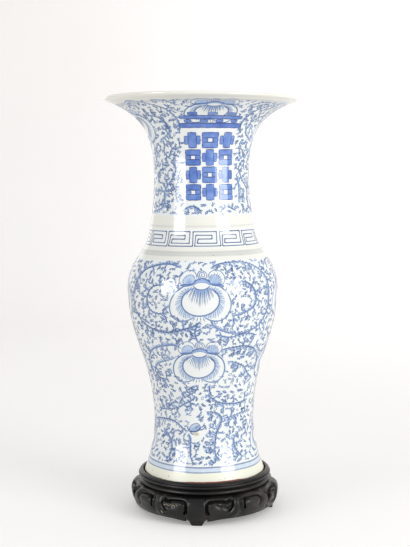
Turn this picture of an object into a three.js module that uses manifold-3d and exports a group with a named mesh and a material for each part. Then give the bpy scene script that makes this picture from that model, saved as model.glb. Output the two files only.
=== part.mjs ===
// A blue-and-white porcelain baluster vase standing in its carved hardwood stand.
// Sizes are in millimetres, +Z is up, and the front is -Y.
// The origin is on the table, under the middle of the stand.
import * as THREE from 'three';
import { mergeVertices } from 'three/addons/utils/BufferGeometryUtils.js';
import Module from 'manifold-3d';

const wasm = await Module();
wasm.setup();

// Vase: radii of the outside, and its levels as shares of the total height.
const VASE_HEIGHT = 450;
const FOOT_R = 73;
const FOOT_EDGE = 1.8;
const HEEL_Z = 5;
const HEEL_SLOPE = -0.38;
const STEM_R = 59.8;
const STEM_LEVEL = 0.149;
const FLANK_R = 75.6;
const FLANK_LEVEL = 0.3444;
const FLANK_SLOPE = 0.36;
const BELLY_R = 89.8;
const BELLY_LEVEL = 0.5022;
const SHOULDER_R = 76.5;
const SHOULDER_LEVEL = 0.5911;
const SHOULDER_SLOPE = -0.78;
const COLLAR_R = 63.3;
const COLLAR_LEVEL = 0.6533;
const COLLAR_SLOPE = -0.19;
const NECK_R = 56.4;
const NECK_LEVEL = 0.8089;
const THROAT_R = 67.5;
const THROAT_LEVEL = 0.9222;
const THROAT_SLOPE = 0.58;
const FLARE_R = 93.5;
const FLARE_LEVEL = 0.9733;
const FLARE_SLOPE = 1.75;
const RIM_R = 114.3;
const RIM_SLOPE = 2.8;

// Vase: wall, lip, foot ring and floor.
const WALL = 6;
const LIP_THICKNESS = 4;
const FOOT_RING_WIDTH = 8;
const FOOT_RECESS = 7;
const FLOOR_THICKNESS = 8;
const FLOOR_FILLET = 9;

// Stand: heights of its layers, from the table up.
const PAD_HEIGHT = 6;
const APRON_LIFT = 1.5;
const LEG_HEIGHT = 27;
const WAIST_HEIGHT = 7;
const LIP_HEIGHT = 8;
const SKIRT_DEPTH = 9;
const BOARD_THICKNESS = 5;
const BAND_BOTTOM = PAD_HEIGHT + APRON_LIFT;
const BAND_TOP = PAD_HEIGHT + LEG_HEIGHT;
const WAIST_TOP = BAND_TOP + WAIST_HEIGHT;
const LIP_TOP = WAIST_TOP + LIP_HEIGHT;
const SKIRT_BOTTOM = BAND_TOP - SKIRT_DEPTH;

// Stand: radial steps, starting from the foot of the vase.
const SEAT_CLEARANCE = 1;
const RING_WIDTH = 6;
const LIP_EDGE = 1;
const GROOVE_DEPTH = 2.4;
const BEAD_PROUD = 1.8;
const BEAD_WIDTH = 2;
const FILLET_HEIGHT = 0.8;
const LEDGE_WIDTH = 12;
const SKIRT_INSET = 3.4;
const BAND_OVERHANG = 8.4;
const BAND_WALL = 10;
const LEG_PROUD = 0.9;
const RECESS_R = FOOT_R + SEAT_CLEARANCE;
const RING_R = RECESS_R + RING_WIDTH;
const GROOVE_R = RING_R - GROOVE_DEPTH;
const BEAD_R = GROOVE_R + BEAD_PROUD;
const WAIST_BORE_R = RECESS_R - LEDGE_WIDTH;
const SKIRT_R = RECESS_R - SKIRT_INSET;
const BAND_R = RING_R + BAND_OVERHANG;

// Profile of the top ring, from the groove up: inset as a share of its width, level as one of its height.
const RING_PROFILE = [[0.1, 0.15], [0, 0.35], [0.13, 0.55], [0.43, 0.8]];
// Profile of the bulging band, from its bottom edge up: inset, and level as a share of its height.
const BAND_PROFILE = [[4.6, 0], [1.6, 0.235], [0.2, 0.51], [0, 0.706], [1.2, 0.835], [4, 0.949], [8, 1]];
// The band's hollow back, from the skirt down, in the same terms.
const BAND_BACK = [[2, 0.51], [0, 0.255], [2.4, 0]];

// Stand: legs and pads.
const LEG_COUNT = 4;
const LEG_WIDTH = 21;
const ANKLE_WIDTH = 25;
const ANKLE_RISE = 3;
const ANKLE_HEIGHT = 2;
const ANKLE_TAPER = 4;
const PAD_WIDTH = 12.5;
const PAD_FLARE = 3;
const PAD_DEPTH = 8;
const PAD_INSET = 9.4;
const STAND_TURN = THREE.MathUtils.degToRad(-6.4);

// Stand: pegs and glue lines.
const PEG_R = 2.4;
const PEG_LENGTH = 14;
const PEG_INSET = 2;
const PEG_Z = (SKIRT_BOTTOM + BAND_TOP) / 2;
const GLUE_GAP = 0.3;

// The carver's openings in an apron: degrees from the leg, width, height, and level of the middle.
const OPENINGS = [
  { angle: 9.9, width: 2.6, height: 4, level: 0.3 },
  { angle: 40, width: 3.2, height: 7, level: 0.52 },
  { angle: 68, width: 4, height: 12, level: 0.7 },
  { angle: 80.1, width: 2.6, height: 4, level: 0.3 },
];

// Facets of the turned surfaces, the pegs and the openings.
const TURNED_SEGMENTS = 48;
const PEG_SEGMENTS = 12;
const OPENING_SEGMENTS = 5;

const porcelain = new THREE.MeshStandardMaterial({ color: 0xe9ecef, roughness: 0.12, metalness: 0 });
const blackwood = new THREE.MeshStandardMaterial({ color: 0x1d1a19, roughness: 0.38, metalness: 0 });
const rawWood = new THREE.MeshStandardMaterial({ color: 0x4a3024, roughness: 0.7, metalness: 0 });

// Turns an outline of [radius, height] points about +Z.
function turned(outline) {
  const points = outline.map(([r, z]) => new THREE.Vector2(r, z));
  return new THREE.LatheGeometry(points, TURNED_SEGMENTS).rotateX(Math.PI / 2);
}

// A geometry as a solid that can be cut and joined.
function solidOf(geometry) {
  const bare = geometry.clone();
  bare.deleteAttribute('normal');
  bare.deleteAttribute('uv');
  const merged = mergeVertices(bare, 1e-4);
  return new wasm.Manifold(new wasm.Mesh({
    numProp: 3,
    vertProperties: new Float32Array(merged.attributes.position.array),
    triVerts: new Uint32Array(merged.index.array),
  }));
}

// A solid as a geometry that a mesh can hold.
function geometryOf(solid) {
  const made = solid.getMesh();
  const geometry = new THREE.BufferGeometry();
  geometry.setAttribute('position', new THREE.BufferAttribute(made.vertProperties, 3));
  geometry.setIndex(new THREE.BufferAttribute(made.triVerts, 1));
  geometry.computeVertexNormals();
  return geometry;
}

// Adds a named piece to a group.
function addPiece(group, name, geometry, material) {
  const mesh = new THREE.Mesh(geometry, material);
  mesh.name = name;
  group.add(mesh);
  return mesh;
}

// Points of an arc from one angle to another about a centre, both ends included.
function arc([cr, cz], radius, from, to, steps) {
  return Array.from({ length: steps + 1 }, (_, i) => {
    const angle = from + (to - from) * i / steps;
    return [cr + radius * Math.cos(angle), cz + radius * Math.sin(angle)];
  });
}

// The outside of the vase, from the heel up to the lip, as stations joined by smooth cubics.
// slope is the change of radius with height, and steps are the facets up to the next station.
function outsideStations() {
  const tangent = new THREE.Vector2(RIM_SLOPE, 1).normalize();
  const half = LIP_THICKNESS / 2;
  const rim = {
    r: RIM_R - half + half * tangent.y,
    z: VASE_HEIGHT - half - half * tangent.x,
  };
  return [
    { r: FOOT_R, z: HEEL_Z, slope: HEEL_SLOPE, steps: 4 },
    { r: STEM_R, z: STEM_LEVEL * VASE_HEIGHT, slope: 0, steps: 4 },
    { r: FLANK_R, z: FLANK_LEVEL * VASE_HEIGHT, slope: FLANK_SLOPE, steps: 4 },
    { r: BELLY_R, z: BELLY_LEVEL * VASE_HEIGHT, slope: 0, steps: 4 },
    { r: SHOULDER_R, z: SHOULDER_LEVEL * VASE_HEIGHT, slope: SHOULDER_SLOPE, steps: 3 },
    { r: COLLAR_R, z: COLLAR_LEVEL * VASE_HEIGHT, slope: COLLAR_SLOPE, steps: 3 },
    { r: NECK_R, z: NECK_LEVEL * VASE_HEIGHT, slope: 0, steps: 5 },
    { r: THROAT_R, z: THROAT_LEVEL * VASE_HEIGHT, slope: THROAT_SLOPE, steps: 4 },
    { r: FLARE_R, z: FLARE_LEVEL * VASE_HEIGHT, slope: FLARE_SLOPE, steps: 2 },
    { r: rim.r, z: rim.z, slope: RIM_SLOPE, steps: 0 },
  ];
}

// Radius and slope on the cubic between two stations, at a share of its height.
function onCubic(a, b, share) {
  const h = b.z - a.z;
  const t = share;
  const r = (2 * t ** 3 - 3 * t ** 2 + 1) * a.r + (t ** 3 - 2 * t ** 2 + t) * h * a.slope
    + (3 * t ** 2 - 2 * t ** 3) * b.r + (t ** 3 - t ** 2) * h * b.slope;
  const slope = (6 * t ** 2 - 6 * t) * (a.r - b.r) / h + (3 * t ** 2 - 4 * t + 1) * a.slope
    + (3 * t ** 2 - 2 * t) * b.slope;
  return { r, z: a.z + h * share, slope };
}

// All points of the outside, each with its slope.
function outsidePoints() {
  const stations = outsideStations();
  const points = [];
  stations.slice(0, -1).forEach((station, i) => {
    for (let step = 0; step < station.steps; step += 1) {
      points.push(onCubic(station, stations[i + 1], step / station.steps));
    }
  });
  points.push(stations[stations.length - 1]);
  return points;
}

// Thickness of the wall at a height: even up to the throat, then thinning to the lip.
function wallAt(z) {
  const throatZ = THROAT_LEVEL * VASE_HEIGHT;
  const flare = THREE.MathUtils.clamp((z - throatZ) / (VASE_HEIGHT - LIP_THICKNESS - throatZ), 0, 1);
  return THREE.MathUtils.lerp(WALL, LIP_THICKNESS, flare);
}

// The vase is one fired body: foot ring, outside, rolled lip, inside and floor in one outline.
function vaseOutline() {
  const outside = outsidePoints();
  const lipNormal = Math.atan2(1, -RIM_SLOPE) - Math.PI / 2;
  const half = LIP_THICKNESS / 2;
  const lip = arc(
    [RIM_R - half, VASE_HEIGHT - half], half, lipNormal - Math.PI / 2, lipNormal + Math.PI / 2, 6,
  );
  const floorZ = FOOT_RECESS + FLOOR_THICKNESS;
  const inside = outside
    .slice(0, -1)
    .map(({ r, z, slope }) => {
      const length = Math.hypot(1, slope);
      const wall = wallAt(z);
      return [r - wall / length, z + wall * slope / length];
    })
    .filter(([, z]) => z > floorZ + FLOOR_FILLET)
    .reverse();
  const [cornerR] = inside[inside.length - 1];
  const fillet = arc(
    [cornerR - FLOOR_FILLET, floorZ + FLOOR_FILLET], FLOOR_FILLET, 0, -Math.PI / 2, 4,
  ).slice(1);
  const footInnerR = FOOT_R - FOOT_EDGE - FOOT_RING_WIDTH;
  return [
    [0, FOOT_RECESS],
    [footInnerR - FOOT_EDGE, FOOT_RECESS],
    [footInnerR, 0],
    [FOOT_R - FOOT_EDGE, 0],
    [FOOT_R, FOOT_EDGE],
    ...outside.map(({ r, z }) => [r, z]).slice(0, -1),
    ...lip,
    ...inside,
    ...fillet,
    [0, floorZ],
  ];
}

// The top ring of the stand: a moulded lip round the recess that holds the vase's foot.
function topRingOutline() {
  return [
    [RECESS_R, WAIST_TOP],
    [GROOVE_R, WAIST_TOP],
    ...RING_PROFILE.map(([inset, level]) => [RING_R - inset * RING_WIDTH, WAIST_TOP + level * LIP_HEIGHT]),
    [RECESS_R + LIP_EDGE, LIP_TOP],
    [RECESS_R, LIP_TOP - LIP_EDGE],
    [RECESS_R, WAIST_TOP],
  ];
}

// The waist ring under it: a beaded edge, a rabbet for the board and a skirt that backs the band.
function waistRingOutline() {
  const ledge = WAIST_TOP - BOARD_THICKNESS;
  const middle = (BAND_TOP + WAIST_TOP) / 2;
  return [
    [WAIST_BORE_R, SKIRT_BOTTOM],
    [SKIRT_R, SKIRT_BOTTOM],
    [SKIRT_R, BAND_TOP],
    [GROOVE_R, BAND_TOP],
    [GROOVE_R, BAND_TOP + FILLET_HEIGHT],
    [BEAD_R, middle - BEAD_WIDTH / 2],
    [BEAD_R, middle + BEAD_WIDTH / 2],
    [GROOVE_R, WAIST_TOP - FILLET_HEIGHT],
    [GROOVE_R, WAIST_TOP],
    [RECESS_R, WAIST_TOP],
    [RECESS_R, ledge],
    [WAIST_BORE_R, ledge],
    [WAIST_BORE_R, SKIRT_BOTTOM],
  ];
}

// The bulging section shared by the legs and the apron pieces between them.
function bandOutline(proud, bottom) {
  const insideR = SKIRT_R + GLUE_GAP;
  const placed = (profile, radius) => (
    profile.map(([inset, level]) => [radius - inset, bottom + level * (BAND_TOP - bottom)])
  );
  return [
    [insideR, BAND_TOP],
    [insideR, SKIRT_BOTTOM],
    ...placed(BAND_BACK, BAND_R - BAND_WALL),
    ...placed(BAND_PROFILE, BAND_R + proud),
    [insideR, BAND_TOP],
  ];
}

// A prism that runs outwards through the band, centred on the -Y side.
// Its outline is [sideways, height] points.
function radialPrism(outline) {
  const shape = new THREE.Shape(outline.map(([x, z]) => new THREE.Vector2(x, z)));
  const geometry = new THREE.ExtrudeGeometry(shape, { depth: BAND_R, bevelEnabled: false });
  return solidOf(geometry.rotateX(Math.PI / 2).translate(0, -WAIST_BORE_R, 0));
}

// The front view of a leg: a straight strap, a wider ankle and a narrow sole.
function legOutlineFront(grow) {
  const half = LEG_WIDTH / 2 + grow;
  const ankle = ANKLE_WIDTH / 2 + grow;
  const sole = PAD_WIDTH / 2 + PAD_FLARE + grow;
  const right = [
    [sole, PAD_HEIGHT - 2 * grow],
    [ankle, PAD_HEIGHT + ANKLE_RISE],
    [ankle, PAD_HEIGHT + ANKLE_RISE + ANKLE_HEIGHT],
    [half, PAD_HEIGHT + ANKLE_RISE + ANKLE_HEIGHT + ANKLE_TAPER],
    [half, BAND_TOP + grow],
  ];
  return [...right, ...right.map(([x, z]) => [-x, z]).reverse()];
}

// A pad under a leg, narrower at the sole than where it meets the leg.
function padGeometry() {
  const sole = PAD_WIDTH / 2;
  const top = sole + PAD_FLARE;
  const outline = [[-sole, 0], [sole, 0], [top, PAD_HEIGHT], [-top, PAD_HEIGHT]];
  const shape = new THREE.Shape(outline.map(([x, z]) => new THREE.Vector2(x, z)));
  return new THREE.ExtrudeGeometry(shape, { depth: PAD_DEPTH, bevelEnabled: false })
    .rotateX(Math.PI / 2)
    .translate(0, -BAND_R + PAD_INSET + PAD_DEPTH / 2, 0);
}

// An upright opening with round ends, cut along the radius at an angle from a leg.
function openingPrism({ width, height, level }) {
  const r = width / 2;
  const z = BAND_BOTTOM + level * (BAND_TOP - BAND_BOTTOM);
  const straight = height / 2 - r;
  return radialPrism([
    ...arc([0, z + straight], r, 0, Math.PI, OPENING_SEGMENTS),
    ...arc([0, z - straight], r, Math.PI, 2 * Math.PI, OPENING_SEGMENTS),
  ]);
}

// A solid turned about +Z by an angle in radians.
function spun(solid, angle) {
  return solid.rotate([0, 0, THREE.MathUtils.radToDeg(angle)]);
}

// A round peg along the radius on the -Y side.
function pegGeometry(radius, from, to) {
  return new THREE.CylinderGeometry(radius, radius, to - from, PEG_SEGMENTS)
    .translate(0, -(from + to) / 2, PEG_Z);
}

// Angle of leg number i, and of the peg in the middle of the apron that follows it.
const legAngle = (i) => i * 2 * Math.PI / LEG_COUNT;
const apronMiddle = (i) => legAngle(i) + Math.PI / LEG_COUNT;

// The porcelain vase, resting on the board.
function makeVase() {
  const vase = new THREE.Group();
  vase.position.z = WAIST_TOP;
  addPiece(vase, 'porcelain_vase', turned(vaseOutline()), porcelain);
  return vase;
}

// The stand: top ring, board, waist ring, legs, aprons, pads and pegs.
function makeStand() {
  const stand = new THREE.Group();
  stand.rotation.z = STAND_TURN;
  const pegFrom = WAIST_BORE_R + PEG_INSET;
  const pegTo = pegFrom + PEG_LENGTH;
  const pegHole = solidOf(pegGeometry(PEG_R + GLUE_GAP, WAIST_BORE_R - PEG_INSET, pegTo + GLUE_GAP));
  const pegAngles = Array.from({ length: LEG_COUNT }, (_, i) => [legAngle(i), apronMiddle(i)]).flat();
  const pegHoles = wasm.Manifold.union(pegAngles.map((angle) => spun(pegHole, angle)));

  addPiece(stand, 'top_ring', turned(topRingOutline()), blackwood);
  const boardR = RECESS_R - GLUE_GAP;
  const board = new THREE.CylinderGeometry(boardR, boardR, BOARD_THICKNESS, TURNED_SEGMENTS)
    .rotateX(Math.PI / 2)
    .translate(0, 0, WAIST_TOP - BOARD_THICKNESS / 2);
  addPiece(stand, 'seat_board', board, rawWood);
  const waist = solidOf(turned(waistRingOutline())).subtract(pegHoles);
  addPiece(stand, 'waist_ring', geometryOf(waist), blackwood);

  const legBand = solidOf(turned(bandOutline(LEG_PROUD, PAD_HEIGHT))).subtract(pegHoles);
  const apronBand = solidOf(turned(bandOutline(0, BAND_BOTTOM))).subtract(pegHoles);
  const legPrism = radialPrism(legOutlineFront(0));
  const legRoom = radialPrism(legOutlineFront(GLUE_GAP));
  const reach = 2 * BAND_R;
  const quarter = solidOf(new THREE.BoxGeometry(reach, reach, reach).translate(reach / 2, -reach / 2, 0));

  for (let i = 0; i < LEG_COUNT; i += 1) {
    const number = i + 1;
    const leg = legBand.intersect(spun(legPrism, legAngle(i)));
    addPiece(stand, `leg_${number}`, geometryOf(leg), blackwood);

    // The openings mirror about the front and back legs, so odd aprons count from their far end.
    const near = i % 2 === 0 ? legAngle(i) : legAngle(i + 1);
    const turn = i % 2 === 0 ? 1 : -1;
    const cuts = [
      spun(legRoom, legAngle(i)),
      spun(legRoom, legAngle(i + 1)),
      ...OPENINGS.map((opening) => (
        spun(openingPrism(opening), near + turn * THREE.MathUtils.degToRad(opening.angle))
      )),
    ];
    const apron = apronBand.intersect(spun(quarter, legAngle(i))).subtract(wasm.Manifold.union(cuts));
    addPiece(stand, `apron_${number}`, geometryOf(apron), blackwood);

    const pad = padGeometry().rotateZ(legAngle(i));
    addPiece(stand, `foot_pad_${number}`, pad, blackwood);

    addPiece(stand, `leg_peg_${number}`, pegGeometry(PEG_R, pegFrom, pegTo).rotateZ(legAngle(i)), rawWood);
    addPiece(stand, `apron_peg_${number}`, pegGeometry(PEG_R, pegFrom, pegTo).rotateZ(apronMiddle(i)), rawWood);
  }
  return stand;
}

const root = new THREE.Group();
root.add(makeVase(), makeStand());

export default root;
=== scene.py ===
"""Dresses a blue-and-white porcelain baluster vase and its carved hardwood stand.

Lengths are in millimetres unless a name says otherwise, and become metres where a mesh is made.
Angles round the vase start at the front, on -Y, and grow towards +X.
"""
from __future__ import annotations

import logging
import math
from collections.abc import Sequence
from dataclasses import dataclass, field
from enum import Enum
from typing import NamedTuple

import bmesh
import bpy
import numpy as np
from mathutils import Matrix, Vector


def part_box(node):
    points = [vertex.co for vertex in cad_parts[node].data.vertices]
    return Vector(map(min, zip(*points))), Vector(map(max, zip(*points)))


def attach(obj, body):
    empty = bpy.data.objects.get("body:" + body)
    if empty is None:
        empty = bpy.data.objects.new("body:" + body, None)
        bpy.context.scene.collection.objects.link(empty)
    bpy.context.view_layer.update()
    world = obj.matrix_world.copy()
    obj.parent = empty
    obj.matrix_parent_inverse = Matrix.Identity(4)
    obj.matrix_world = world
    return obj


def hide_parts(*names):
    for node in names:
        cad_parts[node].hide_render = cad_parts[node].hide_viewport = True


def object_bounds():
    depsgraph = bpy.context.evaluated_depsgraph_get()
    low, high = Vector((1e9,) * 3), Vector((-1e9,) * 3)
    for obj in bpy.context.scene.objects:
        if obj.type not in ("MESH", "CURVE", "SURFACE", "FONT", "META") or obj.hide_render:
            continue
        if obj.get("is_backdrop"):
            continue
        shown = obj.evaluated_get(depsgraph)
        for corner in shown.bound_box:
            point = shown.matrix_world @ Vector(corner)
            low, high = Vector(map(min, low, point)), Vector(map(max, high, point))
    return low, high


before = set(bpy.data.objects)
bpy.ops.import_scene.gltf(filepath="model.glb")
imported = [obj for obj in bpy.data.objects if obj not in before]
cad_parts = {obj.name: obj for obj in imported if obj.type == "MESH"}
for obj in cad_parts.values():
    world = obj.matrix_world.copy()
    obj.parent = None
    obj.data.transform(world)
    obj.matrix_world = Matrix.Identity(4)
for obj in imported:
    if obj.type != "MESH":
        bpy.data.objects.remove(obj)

MM = 0.001
BAKE_MAP = "OFBake"
INK = "ink"
ROUND_STEPS = 192
SHARP_CARVING = math.radians(50)
SHARP_PAD = math.radians(40)
LOG = logging.getLogger("vase")

Array = np.ndarray
Colour = tuple[float, float, float, float]
Curve = tuple[tuple[float, float], ...]
Piece = bpy.types.Object
Spots = Sequence[tuple[float, float]] | Array


def linear(red: int, green: int, blue: int) -> Colour:
    """Turns a display colour into the linear colour that a shader takes.

    Args:
        red: Red from 0 to 255.
        green: Green from 0 to 255.
        blue: Blue from 0 to 255.

    Returns:
        The linear colour with full alpha.
    """
    shares = (value / 255 for value in (red, green, blue))
    channels = (s / 12.92 if s <= 0.04045 else ((s + 0.055) / 1.055) ** 2.4 for s in shares)
    return (*channels, 1.0)


class Wire:
    """An output socket that takes part in Python expressions, each operator adding a Math node."""

    def __init__(self, sheet: ShaderSheet, socket: bpy.types.NodeSocket) -> None:
        """Keeps the sheet that holds the node and the socket itself."""
        self.sheet = sheet
        self.socket = socket

    def __add__(self, other: Wire | float) -> Wire:
        """Returns self + other."""
        return self.sheet.math("ADD", self, other)

    def __radd__(self, other: float) -> Wire:
        """Returns other + self."""
        return self.sheet.math("ADD", other, self)

    def __sub__(self, other: Wire | float) -> Wire:
        """Returns self - other."""
        return self.sheet.math("SUBTRACT", self, other)

    def __rsub__(self, other: float) -> Wire:
        """Returns other - self."""
        return self.sheet.math("SUBTRACT", other, self)

    def __mul__(self, other: Wire | float) -> Wire:
        """Returns self * other."""
        return self.sheet.math("MULTIPLY", self, other)

    def __rmul__(self, other: float) -> Wire:
        """Returns other * self."""
        return self.sheet.math("MULTIPLY", other, self)

    def above(self, level: float, softness: float) -> Wire:
        """Returns a mask that rises smoothly from 0 to 1, over a softness on each side of a level."""
        sockets = {"Value": self, "From Min": level - softness, "From Max": level + softness}
        return self.sheet.node("ShaderNodeMapRange", {"interpolation_type": "SMOOTHSTEP"}, sockets)

    def between(self, low: float, high: float, softness: float) -> Wire:
        """Returns a mask that is 1 between two levels and 0 outside them."""
        return self.above(low, softness) * (1 - self.above(high, softness))


class ShaderSheet:
    """A material's node tree with one Principled shader, filled in by calls."""

    def __init__(self, name: str) -> None:
        """Starts an empty tree with its shader and output.

        Args:
            name: The material's name.
        """
        self.material = bpy.data.materials.new(name)
        self.material.use_nodes = True
        self.tree = self.material.node_tree
        self.tree.nodes.clear()
        self.shader = self.tree.nodes.new("ShaderNodeBsdfPrincipled")
        output = self.tree.nodes.new("ShaderNodeOutputMaterial")
        self.tree.links.new(self.shader.outputs[0], output.inputs["Surface"])

    def node(
        self, kind: str, settings: dict[str, object] | None = None,
        sockets: dict[str | int, object] | None = None, output: str | int = 0,
    ) -> Wire:
        """Adds one node.

        Args:
            kind: The node's type.
            settings: Its properties, set first; stops holds a colour ramp's stops.
            sockets: Values or wires by socket name, identifier or index.
            output: Which output to return.

        Returns:
            The wire of that output.
        """
        node = self.tree.nodes.new(kind)
        for key, value in (settings or {}).items():
            if key == "stops":
                self._set_stops(node.color_ramp, value)
            else:
                setattr(node, key, value)
        for key, value in (sockets or {}).items():
            self.plug(self._socket(node.inputs, key), value)
        return Wire(self, self._socket(node.outputs, output))

    @staticmethod
    def _set_stops(ramp: bpy.types.ColorRamp, stops: Sequence[tuple[float, Colour]]) -> None:
        """Gives a colour ramp its stops.

        Args:
            ramp: The ramp.
            stops: Place and colour of each stop.
        """
        while len(ramp.elements) < len(stops):
            ramp.elements.new(1.0)
        for element, (place, colour) in zip(ramp.elements, stops):
            element.position = place
            element.color = colour

    @staticmethod
    def _socket(sockets: bpy.types.bpy_prop_collection, key: str | int) -> bpy.types.NodeSocket:
        """Finds a socket by index, identifier or name.

        Args:
            sockets: A node's inputs or outputs.
            key: The wanted one.

        Returns:
            The socket.
        """
        if isinstance(key, int):
            return sockets[key]
        exact = [socket for socket in sockets if socket.identifier == key]
        return exact[0] if exact else sockets[key]

    def plug(self, socket: bpy.types.NodeSocket, value: object) -> None:
        """Sets a socket to a value, or links a wire to it.

        Args:
            socket: An input.
            value: A plain value, or a wire.
        """
        if isinstance(value, Wire):
            self.tree.links.new(value.socket, socket)
        else:
            socket.default_value = value

    def math(self, operation: str, *operands: Wire | float) -> Wire:
        """Adds a Math node for an operation on numbers."""
        return self.node("ShaderNodeMath", {"operation": operation}, dict(enumerate(operands)))

    def mix(self, share: Wire | float, first: Wire | Colour, second: Wire | Colour) -> Wire:
        """Blends two colours, from the first at 0 to the second at 1."""
        sockets = {"Factor_Float": share, "A_Color": first, "B_Color": second}
        return self.node("ShaderNodeMix", {"data_type": "RGBA"}, sockets, "Result_Color")

    def noise(self, place: Wire, scale: float, detail: float = 3.0) -> Wire:
        """Returns a cloudy pattern from 0 to 1, with scale in features per metre."""
        sockets = {"Vector": place, "Scale": scale, "Detail": detail}
        return self.node("ShaderNodeTexNoise", None, sockets)

    def place(self) -> Wire:
        """Returns the position on the piece, in metres in its own frame."""
        return self.node("ShaderNodeTexCoord", None, None, "Object")

    def stretched(self, place: Wire, scale: tuple[float, float, float]) -> Wire:
        """Returns a position scaled differently along each axis."""
        return self.node("ShaderNodeVectorMath", {"operation": "MULTIPLY"}, {0: place, 1: scale})

    def axis(self, place: Wire, name: str) -> Wire:
        """Returns one coordinate of a position, by its name."""
        return self.node("ShaderNodeSeparateXYZ", None, {0: place}, name)

    def bump(self, relief: Wire, depth: float, strength: float = 1.0) -> Wire:
        """Turns a relief into a normal, with depth as what a relief of 1 stands for in metres."""
        sockets = {"Strength": strength, "Distance": depth, "Height": relief}
        return self.node("ShaderNodeBump", None, sockets)

    def finish(self, **sockets: object) -> bpy.types.Material:
        """Plugs the shader's sockets.

        Args:
            **sockets: Values or wires by name, with underscores for spaces.

        Returns:
            The material.
        """
        for key, value in sockets.items():
            self.plug(self.shader.inputs[key.replace("_", " ")], value)
        return self.material


def glaze_surface(sheet: ShaderSheet, place: Wire) -> dict[str, object]:
    """Gives the gloss that the bare glaze and the painting under it share.

    Args:
        sheet: The material's sheet.
        place: The position on the piece.

    Returns:
        Roughness and normal for the shader.
    """
    swell = sheet.noise(place, 38.0, 1.0)
    peel = sheet.noise(place, 420.0, 2.0)
    relief = swell * 0.8 + peel * 0.2
    roughness = 0.07 + sheet.noise(place, 90.0) * 0.05
    return {"Roughness": roughness, "Normal": sheet.bump(relief, 0.0006, 0.5)}


@dataclass(frozen=True)
class Glaze:
    """Clear glaze on white porcelain, creamier where it lies thick and bare at the foot."""

    white: Colour = linear(240, 246, 247)
    warm_white: Colour = linear(243, 244, 239)
    cream: Colour = linear(241, 240, 229)
    foot_cream: Colour = linear(242, 242, 223)
    # Painted shade: the grey of the thin shade lines round the ridge, above the key fret and under and on the
    # lip.
    painted_shade_grey: Colour = linear(178, 182, 180)
    biscuit: Colour = linear(150, 58, 46)
    dark_biscuit: Colour = linear(104, 62, 44)
    bare_foot: float = 7.7
    bare_front: float = 1.1

    def material(self, form: VaseForm) -> bpy.types.Material:
        """Makes the glaze for a vase, with its plain bands at the form's heights.

        Args:
            form: The vase, whose bands and foot place the changes of colour.

        Returns:
            The material.
        """
        sheet = ShaderSheet("porcelain_glaze")
        place = sheet.place()
        height = sheet.axis(place, "Z")
        cloud = sheet.noise(place, 22.0)
        bands = sum(
            (height.between(form.world(low), form.world(high), 0.0012) for low, high in form.plain_bands),
            start=height.above(form.world(form.lip_bottom), 0.0008),
        )
        body = sheet.mix(cloud, self.white, self.warm_white)
        body = sheet.mix(bands * 0.9, body, self.cream)
        body = sheet.mix(1 - height.above(form.world(18), 0.001), body, self.foot_cream)
        # Thin grey lines of painted shade: round the ridge on the shoulder, above the key fret, and under the
        # lip and on its face.
        for line, half, share in form.painted_shade_lines:
            ring = height.between(form.world(line - half), form.world(line + half), 0.0011)
            body = sheet.mix(ring * (share * 0.6 + cloud * share * 0.8), body, self.painted_shade_grey)
        front = sheet.axis(place, "X").between(-0.021, 0.044, 0.006)
        front = front * (1 - sheet.axis(place, "Y").above(0.0, 0.01))
        edge = height + sheet.noise(place, 160.0) * 0.0008 - front * (self.bare_front * MM)
        bare = 1 - edge.above(form.world(self.bare_foot), 0.00025)
        surface = glaze_surface(sheet, place)
        clay = sheet.mix(front, self.dark_biscuit, self.biscuit)
        clay = sheet.mix(sheet.noise(place, 300.0) * 0.6, clay, self.dark_biscuit)
        matt = 1 - height.above(form.world(18.5), 0.003)
        surface["Roughness"] = surface["Roughness"] + matt * 0.3 + bare * 0.35
        return sheet.finish(Base_Color=sheet.mix(bare, body, clay), IOR=1.52, **surface)


@dataclass(frozen=True)
class Pigment:
    """Colour under or in the glaze, from a thin wash to a full brush."""

    name: str
    tones: tuple[Colour, Colour, Colour, Colour]
    places: tuple[float, float, float, float] = (0.0, 0.3, 0.62, 1.0)
    uneven: float = 0.3

    def material(self) -> bpy.types.Material:
        """Makes the painting's material, which follows the ink that each mark holds.

        Returns:
            The material.
        """
        sheet = ShaderSheet(self.name)
        place = sheet.place()
        ink = sheet.node("ShaderNodeAttribute", {"attribute_name": INK}, None, "Fac")
        pooled = sheet.noise(place, 130.0, 4.0) * self.uneven - self.uneven / 2
        worn = sheet.noise(place, 700.0, 2.0) * 0.16 - 0.08
        stops = tuple(zip(self.places, self.tones))
        colour = sheet.node("ShaderNodeValToRGB", {"stops": stops}, {0: ink + pooled + worn}, "Color")
        return sheet.finish(Base_Color=colour, IOR=1.52, **glaze_surface(sheet, place))


class Coat(NamedTuple):
    """One kind of mark: its piece's name, how far it lies above the glaze, and its colour."""

    piece: str
    lift: float
    pigment: Pigment


class Layer(Enum):
    """The kinds of marks on the vase."""

    WASHES = Coat("painted_washes", 0.05, Pigment("cobalt_wash", (
        linear(222, 232, 240), linear(188, 208, 233), linear(132, 163, 214), linear(82, 119, 188),
    )))
    LINES = Coat("painted_lines", 0.09, Pigment("cobalt_line", (
        linear(196, 212, 230), linear(146, 170, 208), linear(96, 121, 170), linear(50, 66, 110),
    )))
    BLOCKS = Coat("lattice_blocks", 0.13, Pigment("cobalt_block", (
        linear(164, 188, 230), linear(132, 161, 218), linear(98, 133, 205), linear(62, 95, 176),
    ), uneven=0.9))
    EDGES = Coat("lattice_edges", 0.17, Pigment("cobalt_edge", (
        linear(110, 134, 190), linear(88, 112, 174), linear(66, 88, 150), linear(44, 60, 112),
    )))
    FRET = Coat("key_fret", 0.08, Pigment("cobalt_fret", (
        linear(204, 213, 226), linear(154, 167, 194), linear(104, 118, 152), linear(52, 62, 94),
    )))
    IRON = Coat("iron_specks", 0.2, Pigment("iron_speck", (
        linear(214, 209, 180), linear(180, 162, 124), linear(122, 104, 80), linear(58, 50, 42),
    )))


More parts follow.
